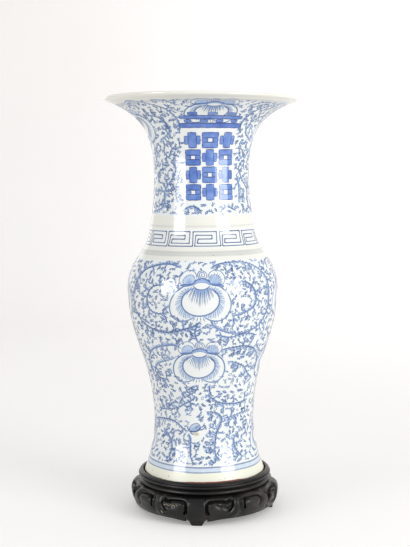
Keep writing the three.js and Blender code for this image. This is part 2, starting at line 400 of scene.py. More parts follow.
@dataclass(frozen=True)
class Blackwood:
    """Black-stained hardwood with a satin polish, with brown patches scattered at random."""

    name: str = "stained_blackwood"
    black: Colour = linear(8, 8, 8)
    soft_black: Colour = linear(16, 15, 14)
    brown: Colour = linear(66, 60, 53)

    def material(self) -> bpy.types.Material:
        """Makes the stained wood, with its pores, its uneven polish and its brown patches.

        Returns:
            The material.
        """
        sheet = ShaderSheet(self.name)
        place = sheet.place()
        grain = sheet.noise(sheet.stretched(place, (1.0, 1.0, 5.0)), 170.0, 5.0)
        pores = sheet.noise(sheet.stretched(place, (1.0, 1.0, 7.0)), 800.0, 2.0)
        patches = sheet.noise(place, 55.0)
        # Brown patches at random places over the whole stand.
        brown_patches = sheet.noise(place, 21.0, 5.0).above(0.6, 0.12)
        colour = sheet.mix(grain, self.black, self.soft_black)
        colour = sheet.mix(brown_patches * 0.4, colour, self.brown)
        roughness = 0.17 + patches * 0.2 + pores * 0.1
        return sheet.finish(
            Base_Color=colour, Roughness=roughness, IOR=1.5, Specular_IOR_Level=0.33,
            Normal=sheet.bump(grain * 0.6 + pores * 0.4, 0.0004, 0.35),
        )


@dataclass(frozen=True)
class RawWood:
    """Oiled reddish hardwood that the stain never reached."""

    light: Colour = linear(98, 62, 44)
    dark: Colour = linear(62, 38, 28)

    def material(self) -> bpy.types.Material:
        """Makes the bare wood, with straight grain along X.

        Returns:
            The material.
        """
        sheet = ShaderSheet("oiled_hardwood")
        place = sheet.place()
        fibres = sheet.noise(sheet.stretched(place, (0.12, 1.0, 1.0)), 420.0, 5.0)
        bands = sheet.noise(sheet.stretched(place, (0.2, 1.0, 1.0)), 60.0)
        grain = fibres * 0.5 + bands * 0.5
        return sheet.finish(
            Base_Color=sheet.mix(grain, self.dark, self.light), Roughness=0.5 + fibres * 0.2,
            Normal=sheet.bump(fibres, 0.0004, 0.5),
        )


@dataclass(frozen=True)
class ChippedWood:
    """Pale wood that shows where the stain is scratched off."""

    pale: Colour = linear(212, 205, 190)
    dark: Colour = linear(120, 108, 94)

    def material(self) -> bpy.types.Material:
        """Makes the scratched wood, broken by leftover stain.

        Returns:
            The material.
        """
        sheet = ShaderSheet("chipped_wood")
        place = sheet.place()
        stain = sheet.noise(place, 900.0, 3.0).above(0.52, 0.12)
        return sheet.finish(
            Base_Color=sheet.mix(stain, self.pale, self.dark), Roughness=0.7 + stain * 0.1,
            Normal=sheet.bump(stain, 0.0001, 0.5),
        )


def make_piece(
    name: str, points: Array, faces: Sequence[Sequence[int]], material: bpy.types.Material,
    corner_uv: Array | None = None, normals: Array | None = None,
) -> Piece:
    """Makes a smooth mesh object from points in millimetres.

    Args:
        name: The piece's name.
        points: Its vertices, one row each.
        faces: Vertex numbers of each face.
        material: Its finish.
        corner_uv: One place on the bake map for each face corner.
        normals: One normal for each vertex, where the faces' own aren't wanted.

    Returns:
        The object, linked to the scene.
    """
    mesh = bpy.data.meshes.new(name)
    mesh.from_pydata((np.asarray(points) * MM).tolist(), [], faces)
    mesh.shade_smooth()
    if corner_uv is not None:
        layer = mesh.uv_layers.new(name=BAKE_MAP)
        layer.data.foreach_set("uv", np.asarray(corner_uv, np.float32).ravel())
    if normals is not None:
        mesh.normals_split_custom_set_from_vertices(normals.tolist())
    mesh.materials.append(material)
    piece = bpy.data.objects.new(name, mesh)
    bpy.context.scene.collection.objects.link(piece)
    return piece


def corner_places(*corners: tuple[Array | float, Array | float]) -> Array:
    """Places on the bake map, corner by corner within each face, from across and up at each corner."""
    places = [np.stack(np.broadcast_arrays(*corner), axis=-1) for corner in corners]
    return np.stack(places, axis=-2).reshape(-1, 2)


def revolve(outline: Array, segments: int) -> tuple[Array, list[list[int]], Array]:
    """Turns an outline about +Z.

    Args:
        outline: Points of radius and height; it runs from the axis to the axis, or closes on itself.
        segments: How many steps go round.

    Returns:
        The vertices, the faces, and the bake map's corners.
    """
    on_axis = int(outline[0][0] == 0)
    turned = outline[1:-1] if on_axis else outline
    spots = np.arange(segments)
    after = (spots + 1) % segments
    angles = spots * math.tau / segments
    rings = np.stack([
        np.outer(turned[:, 0], np.sin(angles)),
        -np.outer(turned[:, 0], np.cos(angles)),
        np.repeat(turned[:, 1:2], segments, axis=1),
    ], axis=-1).reshape(-1, 3)
    closed = outline if on_axis else np.vstack([outline, outline[:1]])
    along = np.concatenate([[0], np.cumsum(np.hypot(*np.diff(closed, axis=0).T))])
    along /= along[-1]
    count = len(turned)
    rows = np.arange(count - on_axis)[:, None]
    here, there = rows * segments, (rows + 1) % count * segments
    quads = np.stack([here + spots, here + after, there + after, there + spots], axis=-1)
    faces = quads.reshape(-1, 4).tolist()
    left, right = spots / segments, (spots + 1) / segments
    low, high = along[rows + on_axis], along[rows + on_axis + 1]
    uv = corner_places((left, low), (right, low), (right, high), (left, high))
    if on_axis:
        base, top = len(rings), (count - 1) * segments
        rings = np.vstack([rings, [[0, 0, outline[0][1]], [0, 0, outline[-1][1]]]])
        for j in range(segments):
            faces += [[base, after[j], j], [base + 1, top + j, top + after[j]]]
        middle = (left + right) / 2
        first, last = along[1], along[-2]
        fans = corner_places(
            (middle, 0), (right, first), (left, first), (middle, 1), (left, last), (right, last),
        )
        uv = np.vstack([uv, fans])
    return rings, faces, uv


def tube_faces(rings: int, count: int, outward: bool) -> list[list[int]]:
    """Faces of a tube of rings with both its ends closed.

    Args:
        rings: How many rings it has.
        count: How many points are in a ring.
        outward: Whether the rings run counter-clockwise round the way from first to last.

    Returns:
        Vertex numbers of each face.
    """
    faces: list[list[int]] = []
    for i in range(rings - 1):
        for j in range(count):
            low, after = i * count, (j + 1) % count
            quad = [low + j, low + after, low + count + after, low + count + j]
            faces.append(quad if outward else [quad[0], *quad[:0:-1]])
    first, last = list(range(count)), list(range((rings - 1) * count, rings * count))
    (first if outward else last).reverse()
    return [*faces, first, last]


def arc(centre: tuple[float, float], radius: float, start: float, end: float, steps: int) -> Array:
    """Points of a circular arc, both ends included, with angles in degrees from the first axis."""
    angles = np.radians(np.linspace(start, end, steps + 1))
    return np.column_stack([centre[0] + radius * np.cos(angles), centre[1] + radius * np.sin(angles)])


@dataclass(frozen=True)
class Station:
    """A point of the vase's outside: its radius, its height above the foot and its slope."""

    radius: float
    height: float
    slope: float


@dataclass
class VaseForm:
    """The turned shape of the vase, which its body and all its painting follow."""

    seat: float
    stations: tuple[Station, ...] = (
        Station(73, 5, -0.38),
        Station(59.8, 67, 0),
        Station(75.6, 155, 0.36),
        Station(89.8, 226, 0),
        Station(76.5, 266, -0.78),
        Station(63.3, 294, -0.19),
        Station(56.4, 364, 0),
        Station(67.5, 415, 0.58),
        Station(93.5, 438, 1.75),
    )
    rim_radius: float = 114.3
    rim_slope: float = 2.8
    tall: float = 450
    lip: float = 4
    wall: float = 6
    thinning_from: float = 415
    foot_edge: float = 1.8
    foot_ring: float = 8
    foot_recess: float = 7
    floor: float = 8
    fillet: float = 9
    ridge_height: float = 273.5
    ridge: float = 0.3
    ridge_width: float = 2.4
    lip_bottom: float = 443.6
    mouth_rise: float = 1.6
    mouth_tilt: float = 0.0145
    bent_from: float = 392.0
    plain_bands: Curve = ((8, 17), (265, 279), (299.5, 314))
    # Painted shade: height, half width and strength of thin grey lines that stand in for shade round the
    # ridge on the shoulder, above the key fret, and under and on the lip.
    painted_shade_lines: tuple[tuple[float, float, float], ...] = (
        (272.1, 2.7, 0.42), (273.8, 0.8, 0.25), (270.3, 0.7, 0.2), (302.6, 1.1, 0.3), (442.9, 0.8, 0.6),
        (446.2, 1.4, 0.2),
    )
    heights: Array = field(init=False)
    radii: Array = field(init=False)
    lengths: Array = field(init=False)

    def __post_init__(self) -> None:
        """Works out tables of radius and length along the outside."""
        half = self.lip / 2
        along = math.hypot(self.rim_slope, 1)
        rim = Station(
            self.rim_radius - half + half / along, self.tall - half - half * self.rim_slope / along,
            self.rim_slope,
        )
        stations = (*self.stations, rim)
        pieces = [self._cubic(a, b) for a, b in zip(stations, stations[1:])]
        self.heights = np.concatenate([heights for heights, _ in pieces])
        radii = np.concatenate([radii for _, radii in pieces])
        away = (self.heights - self.ridge_height) / self.ridge_width
        self.radii = radii + self.ridge * np.exp(-(away**2))
        steps = np.hypot(np.diff(self.heights), np.diff(self.radii))
        self.lengths = np.concatenate([[0], np.cumsum(steps)])

    @staticmethod
    def _cubic(a: Station, b: Station) -> tuple[Array, Array]:
        """Heights and radii on the smooth stretch between two stations.

        Args:
            a: The lower station.
            b: The upper one.

        Returns:
            Heights, and the radius at each.
        """
        t = np.linspace(0, 1, 160, endpoint=False)
        rise = b.height - a.height
        radii = (
            (2 * t**3 - 3 * t**2 + 1) * a.radius + (t**3 - 2 * t**2 + t) * rise * a.slope
            + (3 * t**2 - 2 * t**3) * b.radius + (t**3 - t**2) * rise * b.slope
        )
        return a.height + rise * t, radii

    def world(self, height: float) -> float:
        """Turns a height above the foot into metres above the table."""
        return (self.seat + height) * MM

    def radius(self, height: Array | float) -> Array:
        """Outer radius at a height above the foot."""
        return np.interp(height, self.heights, self.radii)

    def length(self, height: Array | float) -> Array:
        """Distance along the outside from the foot up to a height."""
        return np.interp(height, self.heights, self.lengths)

    def height_at(self, length: Array | float) -> Array:
        """Height that lies a distance along the outside from the foot."""
        return np.interp(length, self.lengths, self.heights)

    def normals(self, angle: Array, height: Array) -> Array:
        """Outward normals at places on the outside.

        Args:
            angle: Angles round the vase, in radians.
            height: Heights above the foot.

        Returns:
            One unit vector for each place.
        """
        step = 0.4
        slope = (self.radius(height + step) - self.radius(height - step)) / (2 * step)
        size = np.sqrt(1 + slope**2)
        return np.stack([np.sin(angle) / size, -np.cos(angle) / size, -slope / size], axis=-1)

    def on_surface(self, angle: Array, height: Array, lift: float | Array) -> Array:
        """Points that lie a little above the outside.

        Args:
            angle: Angles round the vase, in radians.
            height: Heights above the foot.
            lift: Distance from the surface.

        Returns:
            Points above the table, one for each place.
        """
        radius = self.radius(height)
        base = np.stack([radius * np.sin(angle), -radius * np.cos(angle), self.seat + height], axis=-1)
        return base + lift * self.normals(angle, height)

    def bent(self, points: Array) -> Array:
        """Lifts points of the mouth, more on its left, as the firing did.

        Args:
            points: Points above the table, one row each.

        Returns:
            The lifted points.
        """
        share = np.clip((points[:, 2] - self.seat - self.bent_from) / (self.tall - self.bent_from), 0, 1)
        lift = share**2 * (3 - 2 * share) * (self.mouth_rise - self.mouth_tilt * points[:, 0])
        return points + lift[:, None] * (0, 0, 1)

    def outline(self) -> Array:
        """Radius and height above the table round the whole section, from base to inner floor.

        Returns:
            One row for each point.
        """
        step = 6
        heights, radii = self.heights[::step], self.radii[::step]
        slope = np.gradient(radii, heights)
        size = np.hypot(1, slope)
        thin = np.clip((heights - self.thinning_from) / (self.tall - self.lip - self.thinning_from), 0, 1)
        wall = self.wall + (self.lip - self.wall) * thin
        inside = np.column_stack([radii - wall / size, heights + wall * slope / size])
        floor = self.foot_recess + self.floor
        inside = inside[inside[:, 1] > floor + self.fillet][::-1]
        half = self.lip / 2
        tilt = math.degrees(math.atan2(1, -self.rim_slope)) - 90
        lip = arc((self.rim_radius - half, self.tall - half), half, tilt - 90, tilt + 90, 16)
        corner = inside[-1][0]
        fillet = arc((corner - self.fillet, floor + self.fillet), self.fillet, 0, -90, 10)[1:]
        foot_inner = self.stations[0].radius - self.foot_edge - self.foot_ring
        foot_outer = self.stations[0].radius
        foot = [
            (0, self.foot_recess), (foot_inner - self.foot_edge - 2, self.foot_recess),
            (foot_inner - self.foot_edge, self.foot_recess - 0.6), (foot_inner, 0.5), (foot_inner + 0.6, 0),
            (foot_outer - self.foot_edge, 0), (foot_outer - 0.5, 0.5), (foot_outer, self.foot_edge),
        ]
        outside = np.column_stack([radii, heights])
        whole = np.vstack([foot, outside, lip, inside, fillet, [(0, floor)]])
        whole[:, 1] += self.seat
        return whole


class BrushWork:
    """Marks laid on the vase as one thin skin, each point holding its own share of cobalt."""

    layering = 0.03
    taper = 2.5

    def __init__(self, form: VaseForm, lift: float) -> None:
        """Starts an empty skin at a distance from the glaze.

        Args:
            form: The vase.
            lift: Distance from the glaze.
        """
        self.form = form
        self.lift = lift
        self.places: list[Array] = []
        self.inks: list[Array] = []
        self.faces: list[Array] = []
        self.orders: list[Array] = []
        self.count = 0

    def _add(self, places: Array, inks: Array, faces: Array) -> None:
        """Adds vertices by angle and height, and faces that number them from 0.

        Args:
            places: Angle and height of each place.
            inks: Ink at each place.
            faces: Numbers of each face's places.
        """
        self.places.append(places)
        self.inks.append(inks)
        self.faces.append(faces + self.count)
        self.orders.append(np.full(len(places), len(self.orders), float))
        self.count += len(places)

    def ribbons(self, paths: Array, widths: Array, inks: Array) -> None:
        """Lays brush strokes that all have the same number of points.

        Args:
            paths: Angle and height of each point, as strokes by points by 2.
            widths: Width at each point, as strokes by points.
            inks: Ink at each point, as strokes by points.
        """
        form = self.form
        angle, height = paths[..., 0], paths[..., 1]
        centre = form.on_surface(angle, height, 0.0)
        side = np.cross(form.normals(angle, height), np.gradient(centre, axis=1))
        side /= np.linalg.norm(side, axis=-1, keepdims=True) + 1e-9
        reach = side * (widths / 2)[..., None]
        edges = np.stack([centre - reach, centre + reach], axis=2)
        angles = np.arctan2(edges[..., 0], -edges[..., 1])
        places = np.stack([angles, edges[..., 2] - form.seat], axis=-1).reshape(-1, 2)
        strokes, points = angle.shape
        starts = np.arange(strokes)[:, None] * points * 2 + np.arange(points - 1)[None, :] * 2
        quads = np.stack([starts, starts + 2, starts + 3, starts + 1], axis=-1).reshape(-1, 4)
        self._add(places, np.repeat(inks.reshape(-1), 2), quads)

    def stroke(self, path: Array, width: float | Array, ink: float | Array) -> None:
        """Lays one stroke along a path of angles and heights, tapered at both ends.

        Args:
            path: Angle and height of each point.
            width: Width, for all points or for each.
            ink: Ink, for all points or for each.
        """
        path = np.asarray(path)
        t = np.linspace(0, 1, len(path))
        ends = np.clip(np.minimum(t, 1 - t) * len(path) / self.taper, 0.25, 1)
        widths = np.broadcast_to(width, t.shape) * ends
        self.ribbons(path[None], widths[None], np.broadcast_to(ink, t.shape)[None])

    def patch(self, near: Array, far: Array, ink_near: float, ink_far: float, rows: int) -> None:
        """Fills the space between two curves with a wash that runs from one ink to another.

        Args:
            near: Angle and height along one edge.
            far: The same number of points along the other edge.
            ink_near: Ink at the first edge.
            ink_far: Ink at the other.
            rows: How many strips the wash has.
        """
        share = np.linspace(0, 1, rows + 1)[:, None, None]
        grid = near[None] * (1 - share) + far[None] * share
        count = len(near)
        starts = np.arange(rows)[:, None] * count + np.arange(count - 1)[None, :]
        quads = np.stack([starts, starts + 1, starts + count + 1, starts + count], axis=-1).reshape(-1, 4)
        along, across = near[-1] - near[0], far[count // 2] - near[count // 2]
        if along[0] * across[1] - along[1] * across[0] < 0:
            quads = quads[:, ::-1]
        inks = np.repeat(ink_near + (ink_far - ink_near) * share[:, 0, 0], count)
        self._add(grid.reshape(-1, 2), inks, quads)

    def build(self, name: str, material: bpy.types.Material) -> Piece:
        """Makes the skin as one piece.

        Args:
            name: The piece's name.
            material: The painting's material.

        Returns:
            The piece, with its ink and its bake map.
        """
        places, faces = np.concatenate(self.places), np.concatenate(self.faces)
        angle, height = places.T
        orders = np.concatenate(self.orders) / len(self.orders)
        points = self.form.on_surface(angle, height, self.lift + self.layering * orders[:, None])
        corners = faces.reshape(-1)
        across = (angle[corners] / math.tau).reshape(-1, 4)
        across = across - np.round(across - across[:, :1]) + 0.5
        across = np.clip(across.reshape(-1), 0, 1)
        uv = np.column_stack([across, height[corners] / self.form.tall])
        normals = self.form.normals(angle, height)
        piece = make_piece(name, self.form.bent(points), faces.tolist(), material, uv, normals)
        attribute = piece.data.attributes.new(INK, "FLOAT", "POINT")
        attribute.data.foreach_set("value", np.concatenate(self.inks).astype(np.float32))
        return piece


def smooth(points: Sequence[tuple[float, float]], steps: int = 12) -> Array:
    """Runs a smooth curve through a few points.

    Args:
        points: The points.
        steps: How many points each stretch gets.

    Returns:
        Points of the curve.
    """
    knots = np.asarray(points, float)
    knots = np.vstack([2 * knots[0] - knots[1], knots, 2 * knots[-1] - knots[-2]])
    t = np.linspace(0, 1, steps, endpoint=False)[:, None]
    pieces = []
    for a, b, c, d in zip(knots, knots[1:], knots[2:], knots[3:]):
        pieces.append(
            0.5 * (2 * b + (c - a) * t + (2 * a - 5 * b + 4 * c - d) * t**2 + (3 * b - a - 3 * c + d) * t**3)
        )
    return np.vstack([*pieces, knots[-2:-1]])


def resampled(curve: Array, count: int) -> Array:
    """Gives a curve a number of points, evenly spaced along its index."""
    places = np.linspace(0, len(curve) - 1, count)
    return np.column_stack([np.interp(places, np.arange(len(curve)), curve[:, i]) for i in (0, 1)])


@dataclass
class Chart:
    """Millimetres across and up from a point of the vase, for motifs painted round it."""

    form: VaseForm
    degrees: float
    height: float

    def __call__(self, spots: Spots) -> Array:
        """Turns places across and up from the centre into angles and heights.

        Args:
            spots: Places across and up, one row each.

        Returns:
            Angle and height of each place.
        """
        spots = np.asarray(spots, float)
        angle = math.radians(self.degrees) + spots[..., 0] / float(self.form.radius(self.height))
        height = self.form.height_at(self.form.length(self.height) + spots[..., 1])
        return np.stack([angle, height], axis=-1)


def evenly(form: VaseForm, path: Array, spacing: float) -> Array:
    """Spaces a path's points evenly along the surface.

    Args:
        form: The vase.
        path: Angle and height of each point.
        spacing: Distance between two points.

    Returns:
        The new path.
    """
    points = form.on_surface(path[:, 0], path[:, 1], 0.0)
    along = np.concatenate([[0], np.cumsum(np.linalg.norm(np.diff(points, axis=0), axis=1))])
    places = np.linspace(0, along[-1], max(3, int(along[-1] / spacing) + 1))
    return np.column_stack([np.interp(places, along, path[:, i]) for i in (0, 1)])


class Hand(NamedTuple):
    """The painter's fine and broad brush, and the source of the hand's small differences."""

    lines: BrushWork
    wash: BrushWork
    rng: np.random.Generator


@dataclass
class LotusHead:
    """A lotus head: a striped heart under a white lens, between two crescents, two ears and a bud.

    Its curves are the right-hand side in millimetres at full size, up from the heart's middle.
    Its rooms are the ellipses that it fills: half width, half height and how far up the middle is.
    """

    hand: Hand
    chart: Chart
    size: float = 1.0
    squat: float = 1.0
    lean: float = 0.085
    rays: int = 19
    heart: tuple[float, float] = (21.6, 16.4)
    heart_drop: float = 1.2
    rooms: tuple[tuple[float, float, float], ...] = ((36.5, 21.0, -3.6), (26.6, 10.6, 24.0))
    crescent: Curve = (
        (11.5, 17.0), (19.8, 16.2), (25.1, 12.7), (30.2, 7.9), (33.8, 1.6), (35.6, -4.8), (35.2, -12.0),
        (32.0, -18.6), (26.4, -22.6), (20.2, -23.7), (14.0, -22.8), (8.6, -20.6), (4.8, -17.8),
    )
    shade: Curve = (
        (12.6, 15.6), (20.0, 12.9), (24.6, 7.2), (27.6, 0.8), (28.2, -5.4), (26.6, -11.8), (22.6, -17.0),
        (16.8, -20.0), (11.0, -20.4), (5.8, -18.0),
    )
    ear: Curve = (
        (21.0, 17.6), (25.2, 19.4), (26.6, 23.0), (25.9, 27.4), (23.2, 31.4), (19.0, 34.0), (13.8, 34.5),
        (9.2, 32.2), (7.0, 28.7), (6.6, 24.4),
    )
    fan: Curve = (
        (21.4, 19.0), (22.0, 22.4), (20.2, 26.4), (16.5, 29.0), (12.2, 28.9), (9.0, 26.7), (8.0, 23.4),
    )
    ear_base: Curve = ((25.0, 16.6), (18.4, 18.0), (12.4, 18.2), (9.2, 20.0), (6.8, 24.0))
    lens_low: Curve = ((-9.9, 17.0), (-5.4, 13.4), (0, 12.3), (5.4, 13.4), (9.9, 17.0))
    lens_high: Curve = ((-9.9, 17.0), (-5.2, 19.8), (0, 20.7), (5.2, 19.8), (9.9, 17.0))
    cap: Curve = (
        (-10.9, 18.0), (-7.0, 22.2), (-2.5, 24.7), (2.5, 24.7), (7.0, 22.2), (10.9, 18.0),
    )

    def place(self, spots: Spots, side: float = 1.0) -> Array:
        """Turns the flower's own millimetres into angles and heights, on one side or the other.

        Args:
            spots: Places on the flower.
            side: -1 mirrors them.

        Returns:
            Angle and height of each place.
        """
        spots = np.asarray(spots, float) * self.size
        across = spots[..., 0] * side + spots[..., 1] * self.lean
        return self.chart(np.stack([across, spots[..., 1] * self.squat], axis=-1))

    def covers(self, places: Array, margin: float) -> Array:
        """Says which places lie on the flower or within a margin of it.

        Args:
            places: Angle and height of each place.
            margin: Extra room round the flower.

        Returns:
            True where one lies on it.
        """
        form = self.chart.form
        across = np.angle(np.exp(1j * (places[..., 0] - math.radians(self.chart.degrees))))
        across = across * float(form.radius(self.chart.height)) / self.size
        up = form.length(places[..., 1]) - float(form.length(self.chart.height))
        up = up / (self.size * self.squat)
        across = across - up * self.lean
        covered = np.zeros(across.shape, bool)
        for wide, tall, middle in self.rooms:
            covered |= (across / (wide + margin)) ** 2 + ((up - middle) / (tall + margin)) ** 2 < 1
        return covered

    def _rim(self, start: float, end: float, steps: int) -> Array:
        """Points on the heart's outline between two directions in degrees, on the flower."""
        turn = np.radians(np.linspace(start, end, steps))
        return np.column_stack([np.cos(turn), np.sin(turn)]) * self.heart - (0, self.heart_drop)

    def paint(self) -> None:
        """Paints the whole flower."""
        lines, _, rng = self.hand
        self._paint_heart()
        for side in (-1.0, 1.0):
            self._paint_crescent(side)
            self._paint_ear(side)
        self._paint_bud()
        for lean in (-0.7, -0.25, 0.2, 0.65):
            root = np.array([lean * 6, -18.6])
            tip = root + np.array([lean * 5, -4.6 - rng.uniform(0, 1.6)])
            lines.stroke(self.place(np.linspace(root, tip, 5)), 1.0, 0.6)

    def _paint_heart(self) -> None:
        """Paints the heart, its stripes and the lens with its blue cap."""
        lines, wash, rng = self.hand
        low, high, cap = (resampled(smooth(curve), 30) for curve in (self.lens_low, self.lens_high, self.cap))
        share = np.linspace(-1, 1, 30)
        ends = np.column_stack([0.5 + 17.4 * share, -7.2 + 12.6 * np.abs(share) ** 1.7])
        wash.patch(self.place(low[4:27]), self.place(low[4:27] * 0.5 + ends[4:27] * 0.5), 0.56, 0.02, 5)
        for index in np.linspace(0, 29, self.rays).round().astype(int):
            reach = rng.uniform(0.84, 1.06)
            ray = np.linspace(low[index], low[index] + (ends[index] - low[index]) * reach, 12)
            tone = rng.uniform(0.54, 0.74)
            lines.stroke(self.place(ray), rng.uniform(0.58, 0.74), np.linspace(tone, 0.46, 12))
        wash.stroke(self.place(self._rim(108, 432, 90)), 1.9, 0.42)
        lines.stroke(self.place(self._rim(123, 417, 90)), 1.1, 0.72)
        wash.patch(self.place(high), self.place(cap), 0.42, 0.6, 3)
        wash.stroke(self.place(cap), 1.8, 0.78)
        lines.stroke(self.place(low), 0.95, 0.7)
        lines.stroke(self.place(high), 0.65, 0.5)
        lines.stroke(self.place(cap), 0.8, 0.6)

    def _paint_crescent(self, side: float) -> None:
        """Paints one of the two petals that hold the heart.

        Args:
            side: 1 for the right, -1 for the left.
        """
        lines, wash, rng = self.hand
        outer = resampled(smooth(self.crescent), 64)
        edge = resampled(smooth(self.shade), 64)
        inner = self._rim(58, -74, 64)
        wash.patch(self.place(inner, side), self.place(edge, side), 0.24, 0.02, 4)
        tip = edge[:20] * 0.7 + inner[:20] * 0.3
        wash.patch(self.place(inner[:20], side), self.place(tip, side), 0.54, 0.14, 3)
        for index in np.linspace(3, 62, 18).round().astype(int):
            reach = rng.uniform(0.95, 1.25)
            lead = min(index + 2, 63) if index > 30 else index
            hatch = np.linspace(inner[index], inner[index] + (edge[lead] - inner[index]) * reach, 10)
            tone = rng.uniform(0.54, 0.7)
            lines.stroke(self.place(hatch, side), 0.62, np.linspace(tone, 0.42, 10))
        wash.stroke(self.place(outer, side), 1.7, np.linspace(0.6, 0.3, 64))
        lines.stroke(self.place(outer, side), 0.9, np.linspace(0.66, 0.5, 64))

    def _paint_ear(self, side: float) -> None:
        """Paints one of the two round petals above the heart.

        Args:
            side: 1 for the right, -1 for the left.
        """
        lines, wash, rng = self.hand
        root = np.array([13.4, 18.8])
        fan = resampled(smooth(self.fan), 26)
        rim = resampled(smooth(self.ear), 40)
        wash.patch(self.place(root + (fan - root) * 0.05, side), self.place(fan, side), 0.56, 0.14, 5)
        wash.stroke(self.place(fan, side), 1.0, 0.5)
        for index in np.linspace(0, 25, 11).round().astype(int):
            reach = rng.uniform(1.0, 1.16) + (0.2 if side > 0 else 0.0)
            start = 0.5 if side > 0 else 0.8
            ray = np.linspace(root + (fan[index] - root) * start, root + (fan[index] - root) * reach, 8)
            lines.stroke(self.place(ray, side), 0.6, np.linspace(0.46, 0.68, 8))
        lines.stroke(self.place(rim, side), 0.85, 0.54)
        base = resampled(smooth(self.ear_base), 24)
        wash.stroke(self.place(base, side), 2.4, 0.84)
        lines.stroke(self.place(base, side), 0.9, 0.62)

    def _paint_bud(self) -> None:
        """Paints the curled bud between the ears, as one long spiral."""
        lines, wash, _ = self.hand
        turn = np.radians(np.linspace(255, -640, 100))
        shrink = np.linspace(6.1, 0.8, 100)
        curl = np.column_stack([
            0.2 + 1.05 * shrink * np.cos(turn) - 0.25 * shrink * np.sin(turn), 28.9 + shrink * np.sin(turn),
        ])
        tip = curl[:24] * 0.6 + np.array([0.4, 28.9]) * 0.4
        wash.patch(self.place(curl[:24]), self.place(tip), 0.2, 0.1, 2)
        lines.stroke(self.place(curl), 0.75, np.linspace(0.74, 0.56, 100))


@dataclass
class Leaf:
    """One comma-shaped mark: its root, direction, length, bend, width and ink."""

    root: Array
    heading: float
    length: float
    bend: float
    width: float
    ink: float


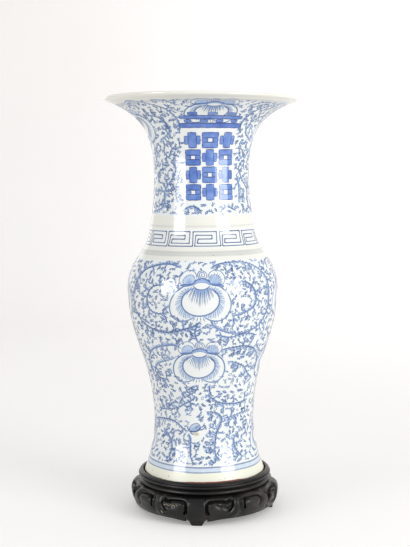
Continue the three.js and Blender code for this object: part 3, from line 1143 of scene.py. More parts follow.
@dataclass
class ScrollGround:
    """Vines with leaves and tendrils on both sides, and loose sprigs in the room that they leave.

    Places are angles in radians and heights above the foot, save where degrees are named.
    """

    form: VaseForm
    hand: Hand
    low: float
    high: float
    heads: Sequence[LotusHead] = ()
    vine_width: float = 1.05
    shade_width: float = 3.4
    leaf_gap: float = 4.6
    sprig_gap: float = 8.5
    clear: float = 3.4
    margin: float = 0.4
    overlap: float = 0.6
    tendril_gap: float = 11.0
    tendril: float = 14.0
    tendril_width: float = 0.75
    step: float = 1.5
    sway_steps: int = 13
    sprig_size: float = 5.4
    fork_size: float = 3.0
    oval_below: float = 0.06
    fork_below: float = 0.36
    passes: tuple[tuple[float, float], ...] = ((1.0, 1.0), (0.72, 0.8))
    taken: list[Array] = field(default_factory=list)
    routes: list[tuple[Array, Array]] = field(default_factory=list)
    leaves: list[Leaf] = field(default_factory=list)
    shades: list[Leaf] = field(default_factory=list)
    ovals: list[Array] = field(default_factory=list)

    def vine(self, path: Array) -> None:
        """Paints a vine along a path of angles in degrees and heights, and keeps its leaves."""
        radians = np.column_stack([np.radians(path[:, 0]), path[:, 1]])
        self._vine_along(evenly(self.form, radians, self.step), 1.0)

    def _vine_along(self, route: Array, width: float) -> None:
        """Paints a vine along evenly spaced places, and keeps its leaves for later.

        Args:
            route: Angle and height of each place.
            width: Its width as a share of the usual one.
        """
        count = len(route)
        knots = np.arange(0, count + self.sway_steps, self.sway_steps)
        sway = np.interp(np.arange(count), knots, self.hand.rng.uniform(-1, 1, len(knots)))
        load = np.interp(np.arange(count), knots, self.hand.rng.uniform(-1, 1, len(knots)))
        rise = np.gradient(self.form.length(route[:, 1]))
        run = np.gradient(route[:, 0]) * self.form.radius(route[:, 1])
        heading = np.arctan2(rise, run)
        aside = np.column_stack([
            route[:, 0] - 0.55 * np.sin(heading) / self.form.radius(route[:, 1]),
            route[:, 1] + 0.45 * np.cos(heading),
        ])
        self.hand.wash.stroke(route, self.shade_width * width * (1 + 0.3 * load), 0.2 + 0.16 * load)
        self.hand.wash.stroke(aside, self.shade_width * width * (0.56 + 0.16 * load), 0.68 + 0.2 * load)
        self.hand.lines.stroke(aside, self.vine_width * width * (0.92 + 0.2 * sway), 0.72 + 0.2 * sway)
        self.block(route)
        self.routes.append((route, heading))
        spots = np.arange(1.5, count - 1, self.leaf_gap / 2 / self.step).astype(int)
        for order, spot in enumerate(spots):
            side = 1 if order % 2 else -1
            turn = heading[spot] + side * math.radians(self.hand.rng.uniform(42, 74))
            if order % 9 == 2:
                self._sprig(route[spot], turn, self.hand.rng.uniform(0.75, 1.0))
            elif order % 9 == 6:
                self._fork(route[spot], turn, self.hand.rng.uniform(0.8, 1.0))
            else:
                self._leaf(route[spot], turn, self.hand.rng.uniform(2.4, 3.8), -0.5 * side)
                if order % 4 == 0:
                    self._shade(route[spot], turn, self.hand.rng.uniform(3.0, 4.6))

    @staticmethod
    def _mood(root: Array) -> float:
        """How full the brush is round a place, from -1 to 1, in slow waves over the vase."""
        return math.sin(root[0] * 5.0 + root[1] * 0.05) * math.sin(root[1] * 0.034 - root[0] * 3.0 + 1.0)

    def _leaf(self, root: Array, heading: float, length: float, bend: float) -> None:
        """Keeps one leaf to be painted later.

        Args:
            root: Where it grows from.
            heading: Its direction in radians.
            length: Its length.
            bend: How far it turns, in radians.
        """
        mood = self._mood(root)
        width = self.hand.rng.uniform(0.6, 0.96) * (1 + 0.1 * mood)
        ink = self.hand.rng.uniform(0.66, 1.0) + 0.14 * mood
        self.leaves.append(Leaf(root, heading, length, bend, width, ink))

    def _shade(self, root: Array, heading: float, length: float) -> None:
        """Keeps one pale leaf that lies under the dark ones.

        Args:
            root: Where it grows from.
            heading: Its direction in radians.
            length: Its length.
        """
        mood = self._mood(root)
        width = self.hand.rng.uniform(2.0, 3.2) * (1 + 0.2 * mood)
        ink = self.hand.rng.uniform(0.3, 0.6) + 0.2 * mood
        self.shades.append(Leaf(root, heading, length, 0.0, width, ink))

    def _oval(self, root: Array, heading: float, size: float) -> None:
        """Keeps a pointed oval leaf that is drawn in outline only.

        Args:
            root: Where it grows from.
            heading: Its direction in radians.
            size: Share of its usual size.
        """
        turn = np.linspace(0, math.tau, 13)
        along, across = 2.3 * size * (1 - np.cos(turn)), 1.25 * size * np.sin(turn)
        cos, sin = math.cos(heading), math.sin(heading)
        spots = zip(along * cos - across * sin, along * sin + across * cos)
        self.ovals.append(np.array([self._moved(root, x, y) for x, y in spots]))

    def _fork(self, root: Array, heading: float, size: float) -> None:
        """Keeps a short stem that ends in two leaves, with a third beside it.

        Args:
            root: Where it grows from.
            heading: Its direction in radians.
            size: Share of its usual size.
        """
        reach = self.fork_size * size
        self.leaves.append(Leaf(root, heading, reach, 0.0, 0.8, self.hand.rng.uniform(0.5, 0.8)))
        tip = self._moved(root, math.cos(heading) * reach, math.sin(heading) * reach)
        for lean, bend in ((-0.7, 0.5), (0.65, -0.5), (2.3, 0.4)):
            turn = heading + lean + self.hand.rng.uniform(-0.25, 0.25)
            self._leaf(tip, turn, self.hand.rng.uniform(2.3, 3.4) * size, bend)

    def _moved(self, root: Array, across: float, up: float) -> Array:
        """Place that lies some millimetres across and up from another."""
        angle = root[0] + across / float(self.form.radius(root[1]))
        return np.array([angle, float(self.form.height_at(self.form.length(root[1]) + up))])

    def _sprig(self, root: Array, heading: float, size: float) -> None:
        """Keeps a short twig with a few leaves to be painted later.

        Args:
            root: Where it grows from.
            heading: Its direction in radians.
            size: Share of its usual size.
        """
        bend = self.hand.rng.uniform(-0.8, 0.8)
        reach = self.sprig_size * size
        self.leaves.append(Leaf(root, heading, reach, bend, 0.85, self.hand.rng.uniform(0.5, 0.8)))
        if self.hand.rng.uniform() < 0.6:
            self._shade(root, heading + bend * 0.5, reach * self.hand.rng.uniform(0.8, 1.15))
        for share, side in ((0.2, 1), (0.42, -1), (0.66, 1), (0.86, -1), (1.0, 1)):
            turn = heading + bend * share
            tip = self._moved(root, math.cos(turn) * reach * share, math.sin(turn) * reach * share)
            lean = turn + side * self.hand.rng.uniform(0.55, 1.15) * (0.6 if share == 1.0 else 1.0)
            self._leaf(tip, lean, self.hand.rng.uniform(2.2, 3.5) * size, -0.5 * side)

    def block(self, places: Array) -> None:
        """Marks places, as angles in radians and heights, that nothing else may touch."""
        self.taken.append(self.form.on_surface(places[:, 0], places[:, 1], 0.0))

    def _is_free(self, places: Array) -> Array:
        """Says which places are inside the ground, off the flowers and clear of what is taken.

        Args:
            places: Angle and height of each place.

        Returns:
            True where a place is free.
        """
        free = (places[:, 1] > self.low) & (places[:, 1] < self.high)
        for head in self.heads:
            free &= ~head.covers(places, self.margin)
        points = self.form.on_surface(places[:, 0], places[:, 1], 0.0)
        taken = np.concatenate(self.taken)
        gaps = ((points[:, None] - taken[None]) ** 2).sum(axis=2).min(axis=1)
        return free & (gaps > self.clear**2)

    def tendrils(self) -> None:
        """Grows short side curls from every vine painted so far, wherever there is room."""
        gap = max(2, int(self.tendril_gap / 2 / self.step))
        for route, heading in list(self.routes):
            for order, spot in enumerate(range(3, len(route) - 2, gap)):
                side = 1 if order % 2 else -1
                turn = heading[spot] + side * 0.7
                curl = side * self.hand.rng.uniform(0.07, 0.17)
                path = [route[spot]]
                for _ in range(int(self.tendril / self.step)):
                    path.append(self._moved(path[-1], self.step * math.cos(turn), self.step * math.sin(turn)))
                    turn += curl * self.step
                path = np.array(path)
                if self._is_free(path[3:]).all():
                    self._vine_along(path, self.tendril_width)

    def scatter(self) -> None:
        """Sets loose sprigs, forks and ovals wherever vines and flowers leave room."""
        for gap_share, size in self.passes:
            grown = len(self.leaves)
            self._scatter_at(self.sprig_gap * gap_share, size)
            self.block(np.array([leaf.root for leaf in self.leaves[grown:]]))

    def _scatter_at(self, gap: float, scale: float) -> None:
        """Sets sprigs about a gap apart, at a share of the usual size.

        Args:
            gap: Distance between two tries.
            scale: Share of the usual size.
        """
        start, end = float(self.form.length(self.low)), float(self.form.length(self.high))
        rows = max(1, round((end - start) / (gap * 0.8)))
        for row in range(rows):
            height = float(self.form.height_at(start + (row + 0.5) * (end - start) / rows))
            count = round(math.tau * float(self.form.radius(height)) / gap)
            shift = 0.5 * (row % 2) + self.hand.rng.uniform(-0.28, 0.28, count)
            angles = (np.arange(count) + shift) * math.tau / count
            spots = np.column_stack([angles, height + self.hand.rng.uniform(-1.8, 1.8, count)])
            for spot in spots[self._is_free(spots)]:
                turn = 0.5 + self.hand.rng.normal(0, 0.75) + math.pi * self.hand.rng.integers(2)
                size = self.hand.rng.uniform(0.8, 1.15) * scale
                root = self._moved(spot, -2.6 * size * math.cos(turn), -2.6 * size * math.sin(turn))
                kind = self.hand.rng.uniform()
                if kind < self.oval_below:
                    self._oval(root, turn, size)
                elif kind < self.fork_below:
                    self._fork(root, turn, size * 1.1)
                else:
                    self._sprig(root, turn, size)

    def paint_leaves(self) -> None:
        """Paints every kept leaf, shade and oval that lies in the ground and off the flowers."""
        dark = np.array([0.42, 0.8, 1.02, 0.94, 0.3]), np.array([0.58, 0.72, 0.9, 1.0, 1.0])
        pale = np.array([0.5, 0.9, 1.0, 0.86, 0.4]), np.array([1.0, 1.0, 0.92, 0.76, 0.5])
        halo = np.array([1.1, 2.1, 1.9, 0.8]), np.array([0.24, 0.24, 0.21, 0.14])
        self._paint_kept(self.hand.wash, self.leaves, *halo)
        self._paint_kept(self.hand.wash, self.shades, *pale)
        self._paint_kept(self.hand.lines, self.leaves, *dark)
        ovals = np.stack(self.ovals)
        keep = self._inside(ovals)
        widths = np.full(ovals.shape[:2], 0.6)
        self.hand.lines.ribbons(ovals[keep], widths[keep], widths[keep])

    def _inside(self, paths: Array) -> Array:
        """Says which paths stay in the ground and off the flowers.

        Args:
            paths: Angle and height, as paths by points by 2.

        Returns:
            True for each such path.
        """
        keep = (paths[..., 1].min(axis=1) > self.low) & (paths[..., 1].max(axis=1) < self.high)
        for head in self.heads:
            keep &= ~head.covers(paths, -self.overlap).any(axis=1)
        return keep

    def _paint_kept(self, brush: BrushWork, leaves: Sequence[Leaf], swell: Array, load: Array) -> None:
        """Paints leaves all at once.

        Args:
            brush: Brush work to lay them in.
            leaves: The leaves.
            swell: Share of the width at each point.
            load: Share of the ink at each point.
        """
        column = {
            name: np.array([getattr(leaf, name) for leaf in leaves], float)
            for name in ("root", "heading", "length", "bend", "width", "ink")
        }
        roots = column["root"]
        t = np.linspace(0, 1, len(swell))[None, :]
        turn = column["heading"][:, None] + column["bend"][:, None] * (t - 0.3)
        across = column["length"][:, None] * t * np.cos(turn)
        up = column["length"][:, None] * t * np.sin(turn)
        angles = roots[:, :1] + across / self.form.radius(roots[:, 1:2])
        heights = self.form.height_at(self.form.length(roots[:, 1:2]) + up)
        paths = np.stack([angles, heights], axis=-1)
        keep = self._inside(paths)
        inks = column["ink"][:, None] * load
        widths = column["width"][:, None] * swell
        brush.ribbons(paths[keep], widths[keep], inks[keep])


@dataclass
class BellyScroll:
    """Lotus columns on the belly and lower body, and the vines that curl between them.

    The front and back columns carry the vines on both their sides and end in a bud over the foot;
    the side columns end in a third lotus head. A vine's places are degrees from its column and heights.
    """

    form: VaseForm
    hand: Hand
    iron: BrushWork
    columns: int = 4
    first: float = -1.5
    low: float = 25.4
    high: float = 264.8
    upper_height: float = 220.8
    lower_height: float = 144.0
    foot_flower_height: float = 50.0
    vines: tuple[Curve, ...] = (
        ((-15, 257), (-23, 261), (-33, 261), (-42, 258), (-49, 254), (-55, 246), (-59, 235), (-62, 221),
         (-60, 207), (-54, 195), (-46, 188), (-36, 184), (-26, 183), (-17, 189)),
        ((-27, 238), (-36, 237), (-42, 229), (-44, 218), (-41, 208), (-33, 204), (-25, 206)),
        ((8, 256), (14, 260), (25, 262), (39, 261), (49, 255), (56, 246), (59, 235), (60, 222), (58, 205),
         (52, 192), (43, 185), (30, 181), (17, 186), (11, 191), (7, 199)),
        ((28, 241), (36, 239), (42, 231), (44, 220), (42, 212), (36, 207), (30, 204), (24, 203)),
        ((-26, 182), (-16, 186), (-5, 191), (0, 197)),
        ((11, 181), (23, 177), (38, 180), (50, 176)),
        ((-17, 165), (-23, 169), (-34, 167), (-46, 162), (-55, 153), (-60, 141), (-57, 128)),
        ((-24, 153), (-34, 149), (-46, 144), (-53, 134), (-48, 126), (-36, 124)),
        ((16, 162), (25, 164), (37, 165), (50, 160), (60, 148), (63, 134)),
        ((24, 148), (33, 145), (43, 139), (50, 130), (60, 122)),
        ((-4, 121), (-6, 115), (-13, 109), (-24, 103)),
        ((8, 121), (7, 114), (10, 106)),
        ((-6, 107), (-12, 102), (-19, 98), (-27, 93), (-42, 89), (-58, 88)),
        ((3, 109), (10, 104), (16, 99), (28, 96), (42, 95), (57, 97)),
        ((-68, 73), (-46, 76), (-32, 74), (-24, 68), (-17, 64)),
        ((-16, 62), (-14, 54), (-14, 44), (-13, 33)),
        ((-51, 65), (-43, 58), (-37, 49), (-37, 40), (-40, 31)),
        ((4, 88), (15, 86), (21, 79), (19, 72), (15, 62), (13, 50), (13, 38), (17, 30)),
        ((23, 79), (35, 80), (45, 82), (59, 83)),
        ((60, 73), (53, 64), (43, 61), (36, 54), (36, 45), (41, 36), (46, 31)),
    )

    def paint(self) -> None:
        """Paints all columns, the ground between them and the stain under each bud."""
        heads: list[LotusHead] = []
        middles = [self.first + column * 360 / self.columns for column in range(self.columns)]
        for order, middle in enumerate(middles):
            upper = Chart(self.form, middle, self.upper_height)
            lower = Chart(self.form, middle - 2.6, self.lower_height)
            heads += [LotusHead(self.hand, upper), LotusHead(self.hand, lower, 0.87, 1.02, rays=16)]
            if order % 2:
                lowest = Chart(self.form, middle, self.foot_flower_height)
                heads.append(LotusHead(self.hand, lowest, 0.74, rays=11))
        ground = ScrollGround(self.form, self.hand, self.low, self.high, heads)
        for head in heads:
            head.paint()
        for order, middle in enumerate(middles):
            self._sprout(ground, middle - 5.2)
            if order % 2 == 0:
                for route in self.vines:
                    ground.vine(smooth(route) + (middle, 0))
                self._small_bud(ground, middle)
                self._stain(middle)
        ground.tendrils()
        ground.scatter()
        ground.paint_leaves()

    def _sprout(self, ground: ScrollGround, degrees: float) -> None:
        """Paints the long-leaved shoot that rises from the lower flower.

        Args:
            ground: The ground that it takes room from.
            degrees: Its place round the vase.
        """
        lines, wash, rng = self.hand
        chart = Chart(self.form, degrees, self.lower_height + 28)
        stem = smooth([(3.6, 1.0), (1.6, 6.5), (0.8, 12), (1.8, 17), (4.4, 21.5)])
        wash.stroke(chart(stem), 2.4, 0.62)
        lines.stroke(chart(stem), 0.95, 0.66)
        for place, side, length in (
            (10, -1, 6.0), (16, 1, 7.5), (22, -1, 8.5), (29, 1, 7.5),
            (34, -1, 7.0), (41, 1, 5.0), (46, -1, 5.0),
        ):
            root = stem[place]
            lean = rng.uniform(0.15, 0.75)
            tip = root + (side * length * math.cos(lean), length * math.sin(lean))
            bow = (root + tip) / 2 + (side * 0.6, -0.9)
            leaf = smooth([root, bow, tip], 5)
            wash.stroke(chart(leaf), 2.2, 0.5)
            lines.stroke(chart(leaf), np.linspace(1.1, 0.7, len(leaf)), np.linspace(0.8, 0.6, len(leaf)))
        ground.block(chart(stem))

    def _small_bud(self, ground: ScrollGround, middle: float) -> None:
        """Paints the bud on its side above the foot.

        Args:
            ground: The ground that it takes room from.
            middle: The column's place round the vase, in degrees.
        """
        lines, wash, _ = self.hand
        chart = Chart(self.form, middle - 8, 65.5)
        base = smooth([(-7.4, -0.6), (-3.5, -1.2), (1.5, -0.4), (4.5, 1.6), (6.4, 4.4)])
        rim = smooth([(-7.4, -0.6), (-6.4, 4.2), (-2.0, 8.0), (3.4, 8.4), (6.4, 4.4)])
        wash.patch(chart(base), chart(rim), 0.6, 0.16, 4)
        lines.stroke(chart(rim), 0.9, 0.6)
        lines.stroke(chart(base), 1.5, 0.9)
        for share in np.linspace(0.12, 0.88, 8):
            index = int(share * (len(rim) - 1))
            ray = np.linspace(base[index], base[index] * 0.3 + rim[index] * 0.7, 4)
            lines.stroke(chart(ray), 0.7, 0.66)
        for petal in (
            ((6.0, 4.0), (9.2, 5.6), (10.8, 9.6)), ((3.0, 1.0), (8.4, 1.8), (11.4, 4.8)),
            ((-7.0, -0.4), (-9.0, 2.4), (-8.8, 5.4)), ((-6.4, -1.0), (-4.2, -3.6), (-0.4, -4.0)),
        ):
            wash.stroke(chart(smooth(petal, 5)), 1.6, 0.5)
            lines.stroke(chart(smooth(petal, 5)), 0.9, 0.7)
        ground.block(chart(np.vstack([rim, base, base - (0, 6)])))

    def _stain(self, middle: float) -> None:
        """Paints the olive stain under the bud, where the glaze ran over a speck of iron.

        Args:
            middle: The column's place round the vase, in degrees.
        """
        chart = Chart(self.form, middle - 7, 61.6)
        low = smooth([(-3.4, 0.4), (-1.6, -1.7), (1.6, -1.8), (3.4, -0.2)])
        high = smooth([(-3.4, 0.4), (-1.4, 1.8), (1.8, 1.7), (3.4, -0.2)])
        self.iron.patch(chart(low), chart(high), 0.0, 0.14, 4)


@dataclass
class NeckScroll:
    """Vines and lotus heads on the neck and under the flared mouth, round two lattice panels.

    A vine's places are degrees from the middle of the gap between the panels, and heights.
    """

    form: VaseForm
    hand: Hand
    panel: LatticePanel
    low: float = 315.5
    high: float = 442.2
    flowers: int = 4
    flower_middle: float = 8.6
    flower_height: float = 430.5
    flower_drop: float = 12.0
    routes: tuple[Curve, ...] = (
        ((4, 318), (20, 320), (32, 326), (33, 344), (44, 356), (50, 369), (42, 378)),
        ((18, 352), (22, 366), (34, 368)),
        ((6, 362), (12, 378), (28, 390), (39, 381), (46, 390), (57, 392)),
        ((28, 399), (46, 408), (46.5, 417), (40, 425.5), (23, 429)),
        ((18, 440), (29, 442), (44, 437.5), (54, 431), (59, 419), (57, 408)),
        ((52, 328), (50, 345), (54, 362)),
        ((58, 320), (70, 325), (80, 319)),
        ((46, 441.5), (56, 440.5), (64, 436)),
    )

    def paint(self) -> None:
        """Paints the neck's flowers, vines and sprigs."""
        heads = []
        for index in range(self.flowers):
            lower = index % 2
            degrees = self.flower_middle + index * 360 / self.flowers
            chart = Chart(self.form, degrees, self.flower_height - self.flower_drop * lower)
            heads.append(LotusHead(self.hand, chart, 0.88 + 0.06 * lower, 0.8 + 0.1 * lower))
        ground = ScrollGround(self.form, self.hand, self.low, self.high, heads)
        for head in heads:
            head.paint()
        for index in range(2):
            ground.block(self.panel.footprint(self.panel.degrees + 180 * index))
            gap = self.panel.degrees + 90 + 180 * index
            for flip in (-1, 1):
                self._vines(ground, gap, flip)
        ground.tendrils()
        ground.scatter()
        ground.paint_leaves()

    def _vines(self, ground: ScrollGround, gap: float, flip: float) -> None:
        """Paints the vines on one side of the gap between two panels.

        Args:
            ground: The ground to paint in.
            gap: The gap's middle, in degrees.
            flip: 1 for the right, -1 for the left.
        """
        for route in self.routes:
            ground.vine(smooth(route) * (flip, 1) + (gap, 0))


class Cell(Enum):
    """What a cell of the lattice holds, as boxes in shares of the cell: left, bottom, right and top."""

    HOLLOW_SQUARE = (
        (0.0, 0.0, 1.0, 0.36), (0.0, 0.64, 1.0, 1.0), (0.0, 0.36, 0.35, 0.64), (0.65, 0.36, 1.0, 0.64),
    )
    CROSS = ((0.24, 0.0, 0.76, 1.0), (0.0, 0.23, 0.24, 0.77), (0.76, 0.23, 1.0, 0.77))


@dataclass
class LatticePanel:
    """A tall panel of cobalt lattice on the neck, and its like on the back."""

    form: VaseForm
    hand: Hand
    degrees: float = 9.8
    width: float = 55.0
    low: float = 332.5
    high: float = 408.5
    columns: int = 3
    rows: int = 4
    bar: float = 2.0
    beams: tuple[tuple[float, float, float], ...] = ((5.8, 5.6, 1.1), (17.0, 4.8, 1.02))
    posts: tuple[tuple[float, float, float, float], ...] = (
        *((share, 3.1, 12.4, 16.0) for share in (-0.78, -0.26, 0.26, 0.78)),
        *((share, 3.8, 22.8, 27.0) for share in (-0.6, 0.0, 0.6)),
    )
    neck_radius: float = 57.0

    def footprint(self, degrees: float) -> Array:
        """Places all over the panel that the scroll keeps clear of.

        Args:
            degrees: The panel's place round the vase.

        Returns:
            Angle and height of each place.
        """
        half = math.degrees(self.width / 2 / self.neck_radius)
        angles = np.radians(degrees + np.linspace(-half - 1, half + 1, 26))
        heights = np.linspace(self.low - 2, self.high + 16, 44)
        return np.stack(np.meshgrid(angles, heights), axis=-1).reshape(-1, 2)

    def paint(self) -> None:
        """Paints the panel on the front and on the back."""
        for half_turn in range(2):
            self._one(Chart(self.form, self.degrees + 180 * half_turn, (self.low + self.high) / 2))

    def _one(self, chart: Chart) -> None:
        """Paints one panel: cells of hollow squares and crosses by turns, then the stepped cap.

        Args:
            chart: Where the panel lies.
        """
        half = self.width / 2
        middle = self.form.length((self.low + self.high) / 2)
        bottom, top = (float(self.form.length(level) - middle) for level in (self.low, self.high))
        cell_wide = (self.width - (self.columns - 1) * self.bar) / self.columns
        cell_tall = (top - bottom - (self.rows - 1) * self.bar) / self.rows
        for row in range(self.rows):
            for column in range(self.columns):
                left = -half + column * (cell_wide + self.bar)
                base = bottom + row * (cell_tall + self.bar)
                cell = Cell.CROSS if (row + column) % 2 else Cell.HOLLOW_SQUARE
                for x0, y0, x1, y1 in cell.value:
                    low, high = base + y0 * cell_tall, base + y1 * cell_tall
                    self._block(chart, (left + x0 * cell_wide, low, left + x1 * cell_wide, high))
        for level, tall, share in self.beams:
            self._block(chart, (-half * share, top + level, half * share, top + level + tall))
        for share, reach, low, high in self.posts:
            self._block(chart, (share * half - reach, top + low, share * half + reach, top + high))

    def _block(self, chart: Chart, box: tuple[float, float, float, float]) -> None:
        """Fills one upright rectangle, slightly uneven, with a darker edge.

        Args:
            chart: Where the panel lies.
            box: Left, bottom, right and top in the panel's own millimetres.
        """
        lines, wash, rng = self.hand
        left, bottom, right, top = box
        steps = max(3, int(max(right - left, top - bottom) / 2) + 1)
        low_edge = np.linspace((left, bottom), (right, bottom), steps)
        high_edge = np.linspace((left, top), (right, top), steps)
        low_edge[:, 1] += rng.uniform(-0.22, 0.22, steps)
        high_edge[:, 1] += rng.uniform(-0.22, 0.22, steps)
        tone = rng.uniform(0.42, 0.7)
        rows = max(2, int((top - bottom) / 2))
        wash.patch(chart(low_edge), chart(high_edge), tone, tone + rng.uniform(-0.12, 0.12), rows)
        sides = [np.linspace(low_edge[end], high_edge[end], 5) for end in (0, -1)]
        for edge in (*sides, low_edge, high_edge):
            lines.stroke(chart(edge), 1.0, rng.uniform(0.5, 1.0))


@dataclass
class Borders:
    """The key fret round the collar and the rings at the foot."""

    form: VaseForm
    hand: Hand
    keys: int = 13
    first: float = -9.2
    fret_low: float = 280.4
    fret_high: float = 296.8
    line: float = 1.12
    foot_wash: tuple[float, float, float] = (20.8, 5.4, 0.1)
    foot_rings: tuple[tuple[float, float, float], ...] = ((23.8, 1.6, 0.46), (18.3, 1.4, 0.34))
    key_route: Curve = (
        (0, 1), (0.88, 1), (0.87, 0.2), (0.16, 0.21), (0.19, 0.5), (0.7, 0.5), (0.7, 0.75), (0.105, 0.77),
        (0.07, 0), (1.0, 0), (1.0, 1),
    )

    def paint(self) -> None:
        """Paints the fret and the rings."""
        for key in range(self.keys):
            self._key(self.first + key * 360 / self.keys)
        self._ring(self.hand.wash, *self.foot_wash)
        for ring in self.foot_rings:
            self._ring(self.hand.lines, *ring)

    @staticmethod
    def _ring(brush: BrushWork, height: float, width: float, ink: float) -> None:
        """Paints a plain ring with a slightly uneven edge.

        Args:
            brush: The brush.
            height: Height of its middle.
            width: Its width.
            ink: Its ink.
        """
        around = np.radians(np.linspace(-180, 180, 181))
        wave = 0.18 * np.sin(around * 5 + height) + 0.12 * np.sin(around * 11)
        low = np.column_stack([around, height - width / 2 + wave])
        high = np.column_stack([around, height + width / 2 + wave * 0.6])
        brush.patch(low, high, ink, ink * 0.8, 2)

    def _key(self, degrees: float) -> None:
        """Paints one squared spiral, whose strokes are darkest where the brush is set down and lifted.

        Args:
            degrees: Its left end's place round the vase.
        """
        fret, _, rng = self.hand
        tall = float(self.form.length(self.fret_high) - self.form.length(self.fret_low))
        chart = Chart(self.form, degrees, self.fret_low)
        wide = math.tau / self.keys * float(self.form.radius(self.fret_low))
        for start, end in zip(self.key_route, self.key_route[1:]):
            tilt = rng.uniform(-0.2, 0.2, 2)
            ends = np.array([start, end]) * (wide, tall) + (0, tilt[0])
            count = max(5, int(np.linalg.norm(ends[1] - ends[0]) / 1.3) + 2)
            path = chart(np.linspace(ends[0], ends[1], count))
            from_end = np.minimum(np.arange(count), np.arange(count)[::-1])
            press = np.exp(-from_end / 0.9)
            widths = self.line * (1 + 0.3 * press) + tilt[1] * 0.6
            inks = rng.uniform(0.5, 0.74) + 0.3 * press
            fret.ribbons(path[None], widths[None], inks[None])


@dataclass
class Specks:
    """Iron specks that the firing left in the glaze."""

    form: VaseForm
    rng: np.random.Generator
    iron: BrushWork
    seen: tuple[tuple[float, float, float, float, float], ...] = (
        (9.9, 270.4, 0.9, 1.1, 0.9), (37.2, 269.6, 0.9, 1.1, 0.85), (-36.3, 11.5, 0.9, 1.3, 0.8),
        (19.4, 11.2, 1.0, 1.0, 0.85), (-61.4, 12.4, 1.2, 1.2, 0.45), (25.1, 232.7, 2.9, 1.7, 0.2),
        (14.5, 10.4, 0.7, 0.8, 0.6),
    )
    others: int = 16

    def paint(self) -> None:
        """Paints the specks that the front shows, and others on the back."""
        for speck in self.seen:
            self._dot(*speck)
        for _ in range(self.others):
            degrees, height = self.rng.uniform(75, 285), self.rng.uniform(12, 440)
            size = self.rng.uniform(0.6, 1.3)
            self._dot(degrees, height, size, size, self.rng.uniform(0.3, 1.0))

    def _dot(self, degrees: float, height: float, wide: float, tall: float, ink: float) -> None:
        """Paints one dot with a darker middle.

        Args:
            degrees: Its place round the vase.
            height: Its height above the foot.
            wide: Its width.
            tall: Its height on the glaze.
            ink: Its darkness.
        """
        chart = Chart(self.form, degrees, height)
        turn = np.linspace(math.pi, 0, 9)
        rough = 1 + self.rng.uniform(-0.15, 0.15, 9)
        top = np.column_stack([wide / 2 * np.cos(turn), tall / 2 * np.sin(turn) * rough])
        self.iron.patch(chart(top * (1, -1)), chart(top), ink, ink * 0.7, 2)


@dataclass
class Vase:
    """The porcelain vase: its body and the painting under its glaze."""

    seed: int = 41
    form: VaseForm = field(init=False)
    rng: np.random.Generator = field(init=False)

    def __post_init__(self) -> None:
        """Takes the seat's height from the frame and starts the hand's random source."""
        self.form = VaseForm(seat=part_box("porcelain_vase")[0].z / MM)
        self.rng = np.random.default_rng(self.seed)

    def build(self) -> list[Piece]:
        """Makes the body and the painting, all riding on the vase.

        Returns:
            The pieces made.
        """
        points, faces, uv = revolve(self.form.outline(), ROUND_STEPS)
        body = make_piece("vase_body", self.form.bent(points), faces, Glaze().material(self.form), uv)
        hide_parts("porcelain_vase")
        brush = {layer: BrushWork(self.form, layer.value.lift) for layer in Layer}
        wash, iron = brush[Layer.WASHES], brush[Layer.IRON]
        hand = Hand(brush[Layer.LINES], wash, self.rng)
        panel = LatticePanel(self.form, Hand(brush[Layer.EDGES], brush[Layer.BLOCKS], self.rng))
        borders = Borders(self.form, Hand(brush[Layer.FRET], wash, self.rng))
        for motif in (
            panel, NeckScroll(self.form, hand, panel), borders, Specks(self.form, self.rng, iron),
            BellyScroll(self.form, hand, iron),
        ):
            motif.paint()
        painted = [
            work.build(layer.value.piece, layer.value.pigment.material()) for layer, work in brush.items()
        ]
        for piece in (body, *painted):
            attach(piece, "vase")
        return [body, *painted]


class Side(Enum):
    """Which way an apron's carving runs, seen from the leg that it counts from."""

    FORWARD = 1
    BACKWARD = -1


@dataclass
class CarvedBand:
    """The bulging, carved section of the stand that legs and aprons share."""

    top: float = 33.0
    skirt_bottom: float = 24.0
    skirt_radius: float = 70.9
    radius: float = 88.4
    wall: float = 10.0
    bottom: float = 7.5
    leg_halves: Curve = ((6.0, 10.6), (8.0, 12.5), (11.0, 12.5), (15.0, 10.5))
    gap: float = 0.3
    dip: float = 2.2

    def outer(self, proud: float, bottom: float) -> Array:
        """Smooth outer section from the bottom edge to the shoulder under the waist.

        Args:
            proud: How far it stands out from the aprons.
            bottom: Height of its bottom edge.

        Returns:
            Radius and height of each point.
        """
        r = self.radius + proud
        return smooth([
            (r - 4.6, bottom), (r - 1.6, bottom + 6), (r - 0.2, bottom + 13), (r, bottom + 18),
            (r - 1.2, self.top - 4.2), (r - 4, self.top - 1.3), (r - 8, self.top),
        ], 11)

    def inner(self, bottom: float) -> Array:
        """Plain inner section, from the top down to the bottom edge.

        Args:
            bottom: Height of its bottom edge.

        Returns:
            Radius and height of each point.
        """
        wall_radius = self.radius - self.wall
        return np.array([
            (self.skirt_radius, self.top), (self.skirt_radius, self.skirt_bottom),
            (wall_radius - 2, 20.5), (wall_radius, 14), (wall_radius - 2.4, bottom),
        ])

    def leg_reach(self, height: Array) -> Array:
        """Half the width of a leg at each height, between the heights and halves that are given."""
        return np.interp(height, *zip(*self.leg_halves))


def polyline_distance(points: Array, route: Array) -> Array:
    """Distance from each point to a route of straight steps.

    Args:
        points: The points.
        route: Ends of the steps, in order.

    Returns:
        One distance for each point.
    """
    starts, ends = route[:-1], route[1:]
    steps = ends - starts
    size = (steps**2).sum(axis=1)
    offset = points[:, None] - starts[None]
    share = np.clip((offset * steps[None]).sum(axis=2) / size[None], 0, 1)
    return np.linalg.norm(offset - share[..., None] * steps[None], axis=2).min(axis=1)


